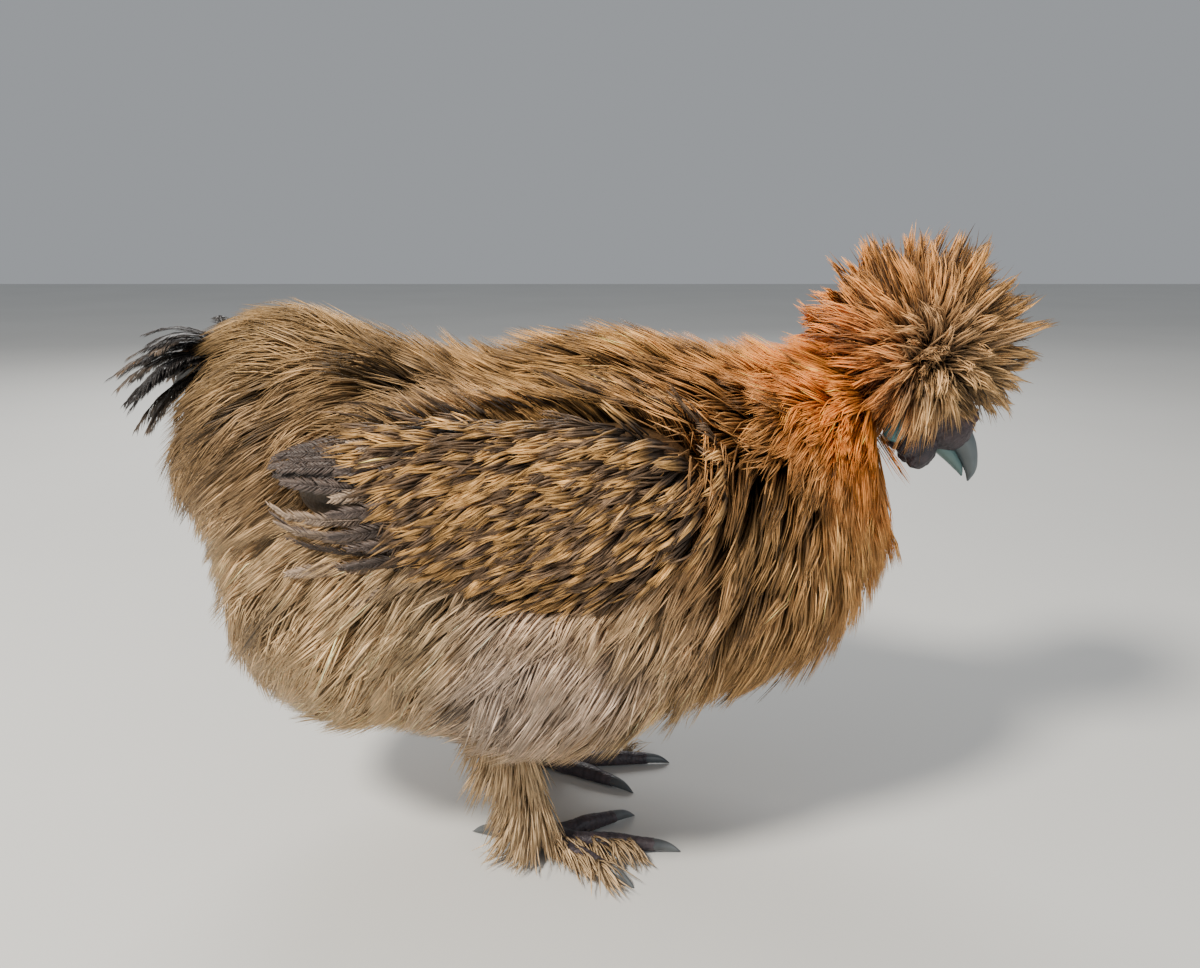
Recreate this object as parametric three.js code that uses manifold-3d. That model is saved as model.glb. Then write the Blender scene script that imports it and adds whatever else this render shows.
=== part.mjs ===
// A silkie hen, life size, standing with her head lowered as if she looks for food.
// Frame: +X forwards, +Y to the bird's left, +Z up, in millimetres, floor at z = 0.
import * as THREE from 'three';
import { mergeVertices } from 'three/addons/utils/BufferGeometryUtils.js';
import Module from 'manifold-3d';

const wasm = await Module();
wasm.setup();

// Driving dimensions
const GAP = 0.34; // between nodes that touch
const BLEND = 7; // how softly the forms run into each other
const CORE = 9; // from the tips of the coat down to the core that its locks grow from
const CREST_CORE = 18;
const WING_CORE = 5;
const WING_CLEAR = 3; // from the wings to the nearest roots of other locks
const SUNK = 3.5; // how far a root goes into its core
const LOCK_GAP = 0.6; // between the locks of one node and those of the next
const CROSSED = 0.3; // a lock that lies in others for more than this share is left out
const FINE = 0.06; // detail finer than this is taken out of a finished node
const NUDGE = 0.015;
const SEED = 7;
const SHIFT_X = 10.5; // brings the middle of the box to x = 0
const FOOT_SPREAD = 31; // from the middle plane to each foot
const ANKLE_X = -22;
const HOCK = { x: -36, z: 66 };
const SHANK_RADIUS = 4.6;
const TOE_RADIUS = 3.3;
const EYE_RADIUS = 5.2;

// The forms of the body, out to the tips of the coat. at and size are the middle and the
// half axes of an ellipsoid, pitch turns it nose down, in degrees.
const FORMS = {
  torso: [
    { at: [9, 0, 122], size: [88, 73, 70] },
    { at: [48, 0, 112], size: [55, 56, 55] },
    { at: [-40, 0, 112], size: [56, 66, 60] },
  ],
  saddle: [
    { at: [-95, 0, 155], size: [48, 48, 42] },
    { at: [-115, 0, 169], size: [30, 35, 31] },
    { at: [-119, 0, 142], size: [39, 42, 28] },
    { at: [-68, 0, 150], size: [44, 47, 37] },
  ],
  fluff: [{ at: [-84, 0, 97], size: [58, 62, 57], pitch: 8 }],
  neck: [
    { at: [56, 0, 136], size: [41, 42, 44] },
    { at: [82, 0, 148], size: [28, 29, 33] },
    { at: [97, 0, 158], size: [17, 17, 23] },
  ],
  thigh_right: [{ at: [-14, -48, 86], size: [54, 31, 38], pitch: -8 }],
  thigh_left: [{ at: [-14, 48, 86], size: [54, 31, 38], pitch: -8 }],
  wing_right: [
    { at: [0, -60, 142], size: [41, 23, 31], pitch: -6 },
    { at: [-50, -58, 146], size: [54, 21, 26], pitch: -3 },
  ],
  wing_left: [
    { at: [0, 60, 142], size: [41, 23, 31], pitch: -6 },
    { at: [-50, 58, 146], size: [54, 21, 26], pitch: -3 },
  ],
  head: [
    { at: [114, 0, 168], size: [21, 15.5, 18], pitch: 38 },
    { at: [126, 0, 156], size: [12.5, 10, 11], pitch: 45 },
  ],
  crest: [
    { at: [118, 0, 188], size: [41, 40, 39] },
    { at: [98, 0, 182], size: [26, 28, 24] },
  ],
};
const SIDES = { right: -1, left: 1 };

const vec = (x, y, z) => new THREE.Vector3(x, y, z);

// Signed distance to one ellipsoid, close to true near its surface.
function ellipsoidDistance(point, { at, size, pitch = 0 }) {
  const turn = THREE.MathUtils.degToRad(pitch);
  const dx = point.x - at[0];
  const dz = point.z - at[2];
  const local = [dx * Math.cos(turn) - dz * Math.sin(turn), point.y - at[1], dx * Math.sin(turn) + dz * Math.cos(turn)];
  const scaled = Math.hypot(...local.map((value, i) => value / size[i]));
  const slope = Math.hypot(...local.map((value, i) => value / size[i] ** 2));
  return slope < 1e-9 ? -Math.min(...size) : (scaled * (scaled - 1)) / slope;
}

// The distance to several named forms run softly into one.
function field(...names) {
  const forms = names.flatMap((name) => FORMS[name]);
  return (point) => {
    const near = forms.map((form) => Math.exp(-ellipsoidDistance(point, form) / BLEND));
    return -BLEND * Math.log(near.reduce((sum, value) => sum + value, 0));
  };
}

// The distance from centre, along a direction, to where the field reaches a level.
function reach(distance, centre, direction, level) {
  const at = (t) => distance(centre.clone().addScaledVector(direction, t));
  let outer = 2;
  while (at(outer) < level) outer += 2;
  let inner = Math.max(0, outer - 2);
  for (let i = 0; i < 14; i += 1) {
    const middle = (inner + outer) / 2;
    if (at(middle) < level) inner = middle;
    else outer = middle;
  }
  return (inner + outer) / 2;
}

// A closed mesh turned into a solid, its faces turned to point out.
function solidOf(geometry) {
  const bare = new THREE.BufferGeometry().setAttribute('position', geometry.getAttribute('position').clone());
  if (geometry.index) bare.setIndex(geometry.index.clone());
  const merged = mergeVertices(bare, 1e-4);
  const build = (triVerts) =>
    new wasm.Manifold(new wasm.Mesh({ numProp: 3, vertProperties: merged.attributes.position.array, triVerts }));
  const triangles = new Uint32Array(merged.index.array);
  const made = build(triangles);
  return made.volume() > 0 ? made : build(triangles.map((_, i) => merged.index.array[i - (i % 3) + (2 - (i % 3))]));
}

// The skin of a field: an even ball of points, each pushed out to the level.
function shell(distance, centre, spread, detail, level) {
  const ball = new THREE.IcosahedronGeometry(1, detail);
  const places = ball.getAttribute('position');
  const middle = vec(...centre);
  for (let i = 0; i < places.count; i += 1) {
    const direction = vec(...spread)
      .multiply(vec().fromBufferAttribute(places, i))
      .normalize();
    const point = middle.clone().addScaledVector(direction, reach(distance, middle, direction, level));
    places.setXYZ(i, point.x, point.y, point.z);
  }
  return solidOf(ball);
}

// A closed body through rings of points, flat at the first ring and pointed at the tip, if any.
function lofted(rings, tip) {
  const sides = rings[0].length;
  const points = rings.flat();
  const faces = [];
  rings.slice(1).forEach((_, r) => {
    for (let i = 0; i < sides; i += 1) {
      const [a, b] = [r * sides + i, r * sides + ((i + 1) % sides)];
      if (i % 2) faces.push(a, b, a + sides, b, b + sides, a + sides);
      else faces.push(a, b, b + sides, a, b + sides, a + sides);
    }
  });
  for (let i = 1; i < sides - 1; i += 1) faces.push(0, i + 1, i);
  const last = (rings.length - 1) * sides;
  if (tip) {
    points.push(tip);
    for (let i = 0; i < sides; i += 1) faces.push(last + i, last + ((i + 1) % sides), points.length - 1);
  } else {
    for (let i = 1; i < sides - 1; i += 1) faces.push(last, last + i, last + i + 1);
  }
  return solidOf(new THREE.BufferGeometry().setFromPoints(points).setIndex(faces));
}

// A round or oval tube along a line of stops: each has a place, and half its width and height.
function tube(stops, { sides = 10, up = vec(0, 0, 1), pointed = false } = {}) {
  const line = stops.map((stop) => vec(...stop.at));
  const rings = line.map((place, i) => {
    const along = line[Math.min(i + 1, line.length - 1)].clone().sub(line[Math.max(i - 1, 0)]).normalize();
    const across = along.clone().cross(up).normalize();
    const above = across.clone().cross(along);
    return Array.from({ length: sides }, (_, k) => {
      const turn = (k / sides) * 2 * Math.PI;
      return place
        .clone()
        .addScaledVector(across, Math.cos(turn) * stops[i].wide)
        .addScaledVector(above, Math.sin(turn) * stops[i].high);
    });
  });
  if (!pointed) return lofted(rings);
  return lofted(rings.slice(0, -1), line[line.length - 1]);
}

function ellipsoid(at, size, { detail = 2, pitch = 0, grow = 0 } = {}) {
  const ball = new THREE.IcosahedronGeometry(1, detail)
    .scale(...size.map((half) => half + grow))
    .rotateY(THREE.MathUtils.degToRad(pitch))
    .translate(...at);
  return solidOf(ball);
}

const joined = (solids) => solids.reduce((whole, next) => whole.add(next));
const largest = (solid) => solid.decompose().reduce((best, next) => (next.volume() > best.volume() ? next : best));

// Centres and detail of the shells, torso first because it keeps its whole form.
const SHELLS = {
  torso: { centre: [12, 0, 116], spread: [104, 72, 70], detail: 4 },
  neck: { centre: [72, 0, 142], spread: [48, 42, 44], detail: 2 },
  saddle: { centre: [-102, 0, 155], spread: [58, 52, 43], detail: 2 },
  fluff: { centre: [-84, 0, 99], spread: [62, 66, 54], detail: 2 },
  thigh_right: { centre: [-14, -48, 88], spread: [54, 31, 38], detail: 2 },
  thigh_left: { centre: [-14, 48, 88], spread: [54, 31, 38], detail: 2 },
  wing_right: { centre: [-20, -58, 144], spread: [76, 24, 30], detail: 2, depth: WING_CORE },
  wing_left: { centre: [-20, 58, 144], spread: [76, 24, 30], detail: 2, depth: WING_CORE },
  head: { centre: [118, 0, 166], spread: [20, 15, 17], detail: 2, bare: true },
  crest: { centre: [114, 0, 187], spread: [44, 40, 40], detail: 2, depth: CREST_CORE },
};
const BODY = Object.keys(SHELLS).filter((name) => name !== 'head' && name !== 'crest');

// The surface of a node's core, or of its whole bare form.
function form(name, grow) {
  const { centre, spread, detail, depth = CORE, bare } = SHELLS[name];
  return shell(field(name), centre, spread, detail, grow - (bare ? 0 : depth));
}

// How the coat lies at a few places of the right side; the left side mirrors it.
const LIES = [
  { at: [80, 0, 185], along: [-1, 0, -0.1] },
  { at: [85, -28, 145], along: [-0.75, -0.1, -0.65] },
  { at: [112, 0, 125], along: [-0.25, 0, -1] },
  { at: [100, 0, 100], along: [-0.1, 0, -1] },
  { at: [85, -45, 115], along: [-0.4, 0, -0.95] },
  { at: [60, 0, 60], along: [-0.9, 0, -0.4] },
  { at: [0, 0, 52], along: [-1, 0, 0] },
  { at: [20, 0, 192], along: [-1, 0, -0.1] },
  { at: [-40, 0, 185], along: [-1, 0, 0.12] },
  { at: [-100, 0, 198], along: [-1, 0, 0] },
  { at: [-150, 0, 160], along: [-0.3, 0, -1] },
  { at: [-110, -45, 155], along: [-0.8, -0.1, -0.55] },
  { at: [40, -60, 130], along: [-0.75, 0, -0.6] },
  { at: [10, -72, 110], along: [-0.65, 0, -0.75] },
  { at: [20, -60, 75], along: [-0.75, 0, -0.6] },
  { at: [-20, -75, 85], along: [-0.55, 0, -0.85] },
  { at: [-90, -60, 95], along: [-0.6, 0, -0.8] },
  { at: [-135, 0, 95], along: [-0.25, 0, -1] },
  { at: [-80, 0, 48], along: [-0.9, 0, -0.3] },
];
function bodyLie(point) {
  const side = point.y > 0 ? -1 : 1;
  const sum = vec();
  LIES.forEach(({ at, along }) => {
    const apart = Math.hypot(point.x - at[0], point.y * side - at[1], point.z - at[2]);
    sum.addScaledVector(vec(along[0], along[1] * side, along[2]), 1 / (apart ** 3 + 200));
  });
  return sum.normalize();
}
// The crest spreads from its whorl on the crown and then hangs.
const WHORL = vec(110, 0, 200);
const crestLie = (point) => point.clone().sub(WHORL).normalize().add(vec(0, 0, -0.45)).normalize();

// An even spread of directions over a ball.
function directions(count) {
  const golden = Math.PI * (3 - Math.sqrt(5));
  return Array.from({ length: count }, (_, i) => {
    const z = 1 - (2 * i + 1) / count;
    const round = Math.sqrt(1 - z * z);
    return vec(round * Math.cos(golden * i), round * Math.sin(golden * i), z);
  });
}

// Seeded numbers from 0 to 1, so that each build is the same.
let draw = SEED;
function random() {
  draw = (draw * 1664525 + 1013904223) % 4294967296;
  return draw / 4294967296;
}
const jitter = (amount) => (random() * 2 - 1) * amount;

function gradient(distance, point) {
  const step = 0.5;
  const change = (axis) =>
    distance(point.clone().addScaledVector(axis, step)) - distance(point.clone().addScaledVector(axis, -step));
  return vec(change(vec(1, 0, 0)), change(vec(0, 1, 0)), change(vec(0, 0, 1))).normalize();
}

// Follows the lie over a field from a root, at the height that rise gives for each share of the length.
const SHARES = [0, 0.36, 0.74, 1];
function walk(distance, lie, root, { length, turn, rise }) {
  const stops = [];
  let place = root.clone();
  SHARES.forEach((share, i) => {
    let normal = gradient(distance, place);
    const heading = lie(place).clone();
    heading.addScaledVector(normal, -heading.dot(normal)).normalize().applyAxisAngle(normal, turn);
    if (i > 0) place = place.clone().addScaledVector(heading, (share - SHARES[i - 1]) * length);
    for (let settle = 0; settle < 2; settle += 1) {
      normal = gradient(distance, place);
      place.addScaledVector(normal, rise(share) - distance(place));
    }
    stops.push({ place: place.clone(), normal });
  });
  return stops;
}

// A flat tapered lock or vane along its stops. A lock has a ridge above a flat base,
// a vane is as thick below as above; roll leans it like a slat.
const TAPER = [0.7, 1, 0.72];
function blade(stops, { wide, thick, roll = 0, vane = false, grow = 0 }) {
  const rings = stops.slice(0, -1).map((stop, i) => {
    const { normal } = stop;
    const along = stops[i + 1].place.clone().sub(stops[Math.max(i - 1, 0)].place).normalize();
    const place = stop.place.clone().addScaledVector(along, i === 0 ? -grow : 0);
    const across = along.clone().cross(normal).normalize().applyAxisAngle(along, roll);
    const above = across.clone().cross(along);
    const half = (wide / 2) * TAPER[i] + grow;
    const tall = thick * (i === TAPER.length - 1 ? 0.7 : 1) + grow;
    const edges = [place.clone().addScaledVector(across, half), place.clone().addScaledVector(above, tall)];
    edges.push(place.clone().addScaledVector(across, -half));
    if (vane) edges.push(place.clone().addScaledVector(above, -tall));
    if (!vane && grow) edges.forEach((edge, k) => k !== 1 && edge.addScaledVector(above, -grow));
    return edges;
  });
  const [before, last] = stops.slice(-2).map((stop) => stop.place);
  return lofted(rings, last.clone().addScaledVector(last.clone().sub(before).normalize(), grow * 2));
}

// The coats: how many directions are tried, and the size of a lock.
const COATS = {
  torso: { tries: 100, length: 48, wide: 16, thick: 2.4 },
  neck: { tries: 64, length: 36, wide: 11, thick: 2 },
  saddle: { tries: 52, length: 44, wide: 14, thick: 2.2 },
  fluff: { tries: 50, length: 46, wide: 15, thick: 2.2 },
  thigh_right: { tries: 28, length: 38, wide: 14, thick: 2.2 },
  thigh_left: { tries: 28, length: 38, wide: 14, thick: 2.2 },
  crest: { tries: 60, length: 25, wide: 12.5, thick: 2 },
};
const easeOut = (share) => 1 - (1 - share) ** 1.7;

// Plans the locks of one node: their stops and sizes, with the roots on its own core.
function plan(name) {
  const { tries, length, wide, thick } = COATS[name];
  const { centre, spread, depth = CORE } = SHELLS[name];
  const own = field(name);
  const isCrest = name === 'crest';
  const over = isCrest ? own : field(...BODY);
  const others = isCrest ? [field('head'), field('neck')] : BODY.filter((other) => other !== name).map((other) => field(other));
  const wings = isCrest ? [] : [field('wing_right'), field('wing_left')];
  const margin = isCrest ? -2 : 2 - depth;
  const locks = [];
  directions(tries).forEach((direction) => {
    const middle = vec(...centre);
    const way = direction.clone().multiply(vec(...spread)).normalize();
    const root = middle.clone().addScaledVector(way, reach(own, middle, way, -depth));
    const upright = isCrest ? 0.4 * THREE.MathUtils.smoothstep(direction.z, 0.3, 0.95) : 0;
    const size = {
      turn: jitter(0.2),
      length: length * (1 - upright + jitter(0.16)),
      tip: 1.6 + jitter(1.6) + upright * 9,
      wide: wide * (1 + jitter(0.12)),
    };
    if (others.some((other) => other(root) < margin) || wings.some((wing) => wing(root) < WING_CLEAR)) return;
    if (isCrest && root.x > 118 && root.z < 172) return;
    const low = -depth - SUNK;
    const rise = (share) => low + (size.tip - low) * (isCrest ? easeOut(share) : share);
    const lie = isCrest ? crestLie : bodyLie;
    const stops = walk(over, lie, root, { length: size.length, turn: size.turn, rise });
    locks.push({ stops, wide: size.wide, thick, roll: jitter(0.16) });
  });
  return locks;
}

// The upper beak curves down to its tip; the lower one closes against it.
const fatter = (stops, grow) => stops.map(({ at, wide, high }) => ({ at, wide: wide + grow, high: high + grow }));
const BEAK_UP = vec(1, 0, 0.75);
function beakUpper(grow = 0) {
  const stops = [
    { at: [124.6, 0, 157.4], wide: 5.2, high: 5.2 },
    { at: [130.2, 0, 152.6], wide: 5.4, high: 5.4 },
    { at: [134.6, 0, 146.9], wide: 4.5, high: 4.5 },
    { at: [137, 0, 141.6], wide: 3.3, high: 3.3 },
    { at: [137.9, 0, 137.2], wide: 2, high: 2.2 },
    { at: [137.2, 0, 133], wide: 0.4, high: 0.4 },
  ];
  const whole = tube(fatter(stops, grow), { sides: 10, up: BEAK_UP, pointed: true });
  if (grow) return whole;
  const nostrils = [-1, 1].map((side) => ellipsoid([132.6, side * 4.9, 152.4], [1.9, 1.2, 1], { detail: 1, pitch: 50 }));
  return nostrils.reduce((beak, pit) => beak.subtract(pit), whole);
}
function beakLower(grow = 0) {
  const stops = [
    { at: [120.4, 0, 151], wide: 4.6, high: 3 },
    { at: [126, 0, 146.6], wide: 4.5, high: 3 },
    { at: [130.2, 0, 142.4], wide: 3.7, high: 2.5 },
    { at: [133.2, 0, 138.4], wide: 2.4, high: 1.7 },
    { at: [134.8, 0, 135], wide: 0.4, high: 0.4 },
  ];
  return tube(fatter(stops, grow), { sides: 10, up: BEAK_UP, pointed: true });
}

// The small pieces of the face, each a ball of its own proportions.
const FACE = {
  eye: (side, grow) => ellipsoid([119.5, side * 11.2, 165], [EYE_RADIUS, EYE_RADIUS, EYE_RADIUS], { detail: 1, grow }),
  earlobe: (side, grow) => ellipsoid([107, side * 16, 156], [5.2, 2.6, 7], { detail: 1, grow }),
  wattle: (side, grow) => ellipsoid([117.5, side * 5.6, 145.5], [5.2, 3.6, 7.2], { detail: 1, pitch: 30, grow }),
};
const COMB_BUMPS = [
  { at: [132, 0, 161.5], size: [5.4, 4.4, 4.6] },
  { at: [135.4, -3, 158], size: [3.2, 3, 3] },
  { at: [135.4, 3, 158], size: [3.2, 3, 3] },
];
const comb = (grow = 0) => joined(COMB_BUMPS.map(({ at, size }) => ellipsoid(at, size, { detail: 1, grow })));

// The rim of the lids stands round each eye.
const LID = { radius: 4.5, rim: 1.2 };
function lids(side, grow = 0) {
  return solidOf(
    new THREE.TorusGeometry(LID.radius, LID.rim + grow, 4, 10).rotateX(Math.PI / 2).translate(119.5, side * 13.8, 165),
  );
}

// One leg: drumstick end, hock, shank and five toes, flat where they stand.
const TOES = [
  { name: 'inner', turn: 32, length: 33 },
  { name: 'middle', turn: -4, length: 43 },
  { name: 'outer', turn: -38, length: 34 },
  { name: 'hind', turn: 158, length: 20 },
  { name: 'fifth', turn: 140, length: 21, lifted: 15 },
];
function toeLine(toe, side) {
  const turn = THREE.MathUtils.degToRad(toe.turn);
  const [dx, dy] = [Math.cos(turn), -Math.sin(turn) * side];
  const reached = (share) => [ANKLE_X + dx * toe.length * share, side * FOOT_SPREAD + dy * toe.length * share];
  const lift = toe.lifted ?? 0;
  return [
    { at: [...reached(-0.04), 6.5 + lift * 0.5], wide: 3.9, high: 4 },
    { at: [...reached(0.2), 3 + lift * 0.65], wide: TOE_RADIUS + 0.4, high: TOE_RADIUS + 0.7 },
    { at: [...reached(0.6), 2.5 + lift * 0.95], wide: TOE_RADIUS, high: TOE_RADIUS + 0.1 },
    { at: [...reached(1), 2 + lift * 1.25], wide: TOE_RADIUS * 0.72, high: TOE_RADIUS * 0.82 },
  ];
}
function claw(toe, side) {
  const line = toeLine(toe, side);
  const [from, to] = line.slice(-2).map((stop) => vec(...stop.at));
  const along = to.clone().sub(from).normalize();
  const place = (distance, drop) => to.clone().addScaledVector(along, distance).add(vec(0, 0, -drop)).toArray();
  return tube(
    [
      { at: place(GAP, 0), wide: 1.9, high: 1.9 },
      { at: place(3.4, 0.1), wide: 1.5, high: 1.5 },
      { at: place(6.4, 0.8), wide: 0.9, high: 0.9 },
      { at: place(9, 2), wide: 0.3, high: 0.3 },
    ],
    { sides: 6, pointed: true },
  );
}
// Feathers down the outside of the shank and over the outer toe.
const FOOT_FEATHER = { wide: 12, thick: 0.7, vane: true };
const FOOT_ROOTS = [
  { x: -34, z: 60, length: 30, back: -0.25 },
  { x: -31, z: 46, length: 30, back: 0.1 },
  { x: -28, z: 33, length: 29, back: -0.15 },
  { x: -23, z: 20, length: 27, back: 0.35 },
];
function footFeathers(side) {
  return FOOT_ROOTS.map(({ x, z, length, back }) =>
    SHARES.map((share) => {
      const fall = Math.min(z - 3, length * 0.85) * share ** 1.3;
      const out = side * (FOOT_SPREAD + 2 + length * 0.5 * share);
      return { place: vec(x + back * length * share, out, z - fall), normal: vec(-back, 0.9 * side, 0.45).normalize() };
    }),
  );
}
const underFloor = solidOf(new THREE.BoxGeometry(600, 600, 40).translate(0, 0, -20));
function leg(side) {
  const y = side * FOOT_SPREAD;
  const shank = tube(
    [
      { at: [-22, y, 92], wide: 12, high: 13 },
      { at: [-30, y, 77], wide: 8.5, high: 9 },
      { at: [HOCK.x, y, HOCK.z], wide: 6.4, high: 7 },
      { at: [HOCK.x + 3, y, HOCK.z - 13], wide: SHANK_RADIUS, high: SHANK_RADIUS },
      { at: [ANKLE_X - 3, y, 18], wide: SHANK_RADIUS, high: SHANK_RADIUS },
      { at: [ANKLE_X, y, 6.5], wide: 5.2, high: 5.4 },
    ],
    { sides: 8, up: vec(1, 0, 0) },
  );
  const toes = TOES.map((toe) => tube(toeLine(toe, side), { sides: 6 }));
  const feathers = footFeathers(side).map((stops) => blade(stops, FOOT_FEATHER));
  return joined([shank, ...toes, ...feathers]).subtract(underFloor);
}

// The tail: a small core and tiers of ragged vanes that fan up, back and down from it.
const TAIL_ROOT = vec(-142, 0, 169);
const TAIL_TIERS = [
  { rise: 48, length: 34, bend: 30, fan: [-24, 0, 24] },
  { rise: 24, length: 37, bend: 22, fan: [-44, -15, 15, 44] },
  { rise: 0, length: 38, bend: 16, fan: [-30, 0, 30] },
  { rise: -24, length: 37, bend: 8, fan: [-44, -15, 15, 44] },
];
const TAIL_VANE = { wide: 14, thick: 0.6, vane: true };
function tailVanes(grow = 0) {
  return TAIL_TIERS.flatMap(({ rise, length, bend, fan }) =>
    fan.map((spread) => {
      const turn = THREE.MathUtils.degToRad(spread);
      const stops = SHARES.map((share) => {
        const lift = THREE.MathUtils.degToRad(rise - bend * share);
        const heading = vec(-Math.cos(lift) * Math.cos(turn), Math.cos(lift) * Math.sin(turn), Math.sin(lift));
        const normal = vec(Math.sin(lift) * Math.cos(turn), -Math.sin(lift) * Math.sin(turn), Math.cos(lift));
        return { place: TAIL_ROOT.clone().addScaledVector(heading, length * share), normal };
      });
      return blade(stops, { ...TAIL_VANE, roll: turn * 0.5, grow });
    }),
  );
}
const tailCore = (grow = 0) => ellipsoid(TAIL_ROOT.toArray(), [15, 17, 15], { detail: 1, grow });

// The wing's feathers: long flights at the back in tiers, and small pointed coverts before them.
// x is where a row is rooted, heights how far its roots stand from the wing's middle line.
const WING_ROWS = [
  { x: -44, length: 60, wide: 14, heights: [-15, -6, 3, 12], tip: 0.5, dip: 0.1, vane: true },
  { x: -27, length: 42, wide: 14, heights: [-17, -8, 1, 10], tip: 1, dip: 0.2, vane: true },
  { x: -8, length: 36, wide: 13, heights: [-17, -7, 3, 13], tip: 1, dip: 0.35 },
  { x: 11, length: 32, wide: 13, heights: [-12, -1, 10], tip: 1, dip: 0.45 },
  { x: 26, length: 28, wide: 12, heights: [-6, 6], tip: 0, dip: 0.5 },
];
function wingPlan(side, label) {
  const own = field(`wing_${label}`);
  const over = field('torso', 'fluff', 'saddle', `wing_${label}`);
  const low = -WING_CORE - 1.5;
  return WING_ROWS.flatMap(({ x, length, wide, heights, tip, dip, vane = false }) =>
    heights.map((height) => {
      const inside = vec(x, side * 56, 146 + height);
      const root = inside.clone().addScaledVector(vec(0, side, 0), reach(own, inside, vec(0, side, 0), low));
      const lie = () => vec(-1, 0, -dip - height * (vane ? -0.012 : 0));
      const rise = (share) => low + (tip + jitter(0.8) - low) * share;
      const size = length * (1 + jitter(0.1));
      const stops = walk(over, lie, root, { length: size, turn: jitter(0.06), rise });
      return { stops, wide, thick: vane ? 0.6 : 1.6, vane, roll: side * 0.14 };
    }),
  );
}

// Each node's solid. A core is cut clear of the cores before it, locks of all cores but their own,
// and then a later node clear of the locks of the earlier ones.
const CORE_RIVALS = {
  neck: ['torso'],
  saddle: ['torso'],
  fluff: ['torso', 'saddle'],
  thigh: ['torso', 'fluff'],
  wing: ['torso', 'fluff', 'saddle', 'neck', 'thigh'],
};
const LOCK_ORDER = ['crest', 'neck', 'wing', 'torso', 'saddle', 'thigh', 'fluff', 'tail', 'leg', 'head'];

// Takes the last crumbs that two nodes share out of the later one, with a gap round them.
function clearCrumbs(nodes, names) {
  names.forEach((later, place) => {
    names.slice(0, place).forEach((earlier) => {
      const shared = nodes[later].intersect(nodes[earlier]);
      if (shared.isEmpty()) return;
      const boxes = shared.decompose().map((crumb) => {
        const { min, max } = crumb.boundingBox();
        const middle = min.map((value, i) => (value + max[i]) / 2);
        const size = min.map((value, i) => max[i] - value + GAP * 2);
        return solidOf(new THREE.BoxGeometry(...size).translate(...middle));
      });
      nodes[later] = largest(boxes.reduce((left, box) => left.subtract(box), nodes[later]));
    });
  });
}

// Moves a point by a hair, so that no triangle whose corners lie in one line is left without width.
function nudged(point) {
  const [x, y, z] = point;
  point[0] = x + NUDGE * Math.sin(y * 37 + z * 53);
  point[1] = y + NUDGE * Math.sin(x * 41 + z * 47);
}

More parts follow.
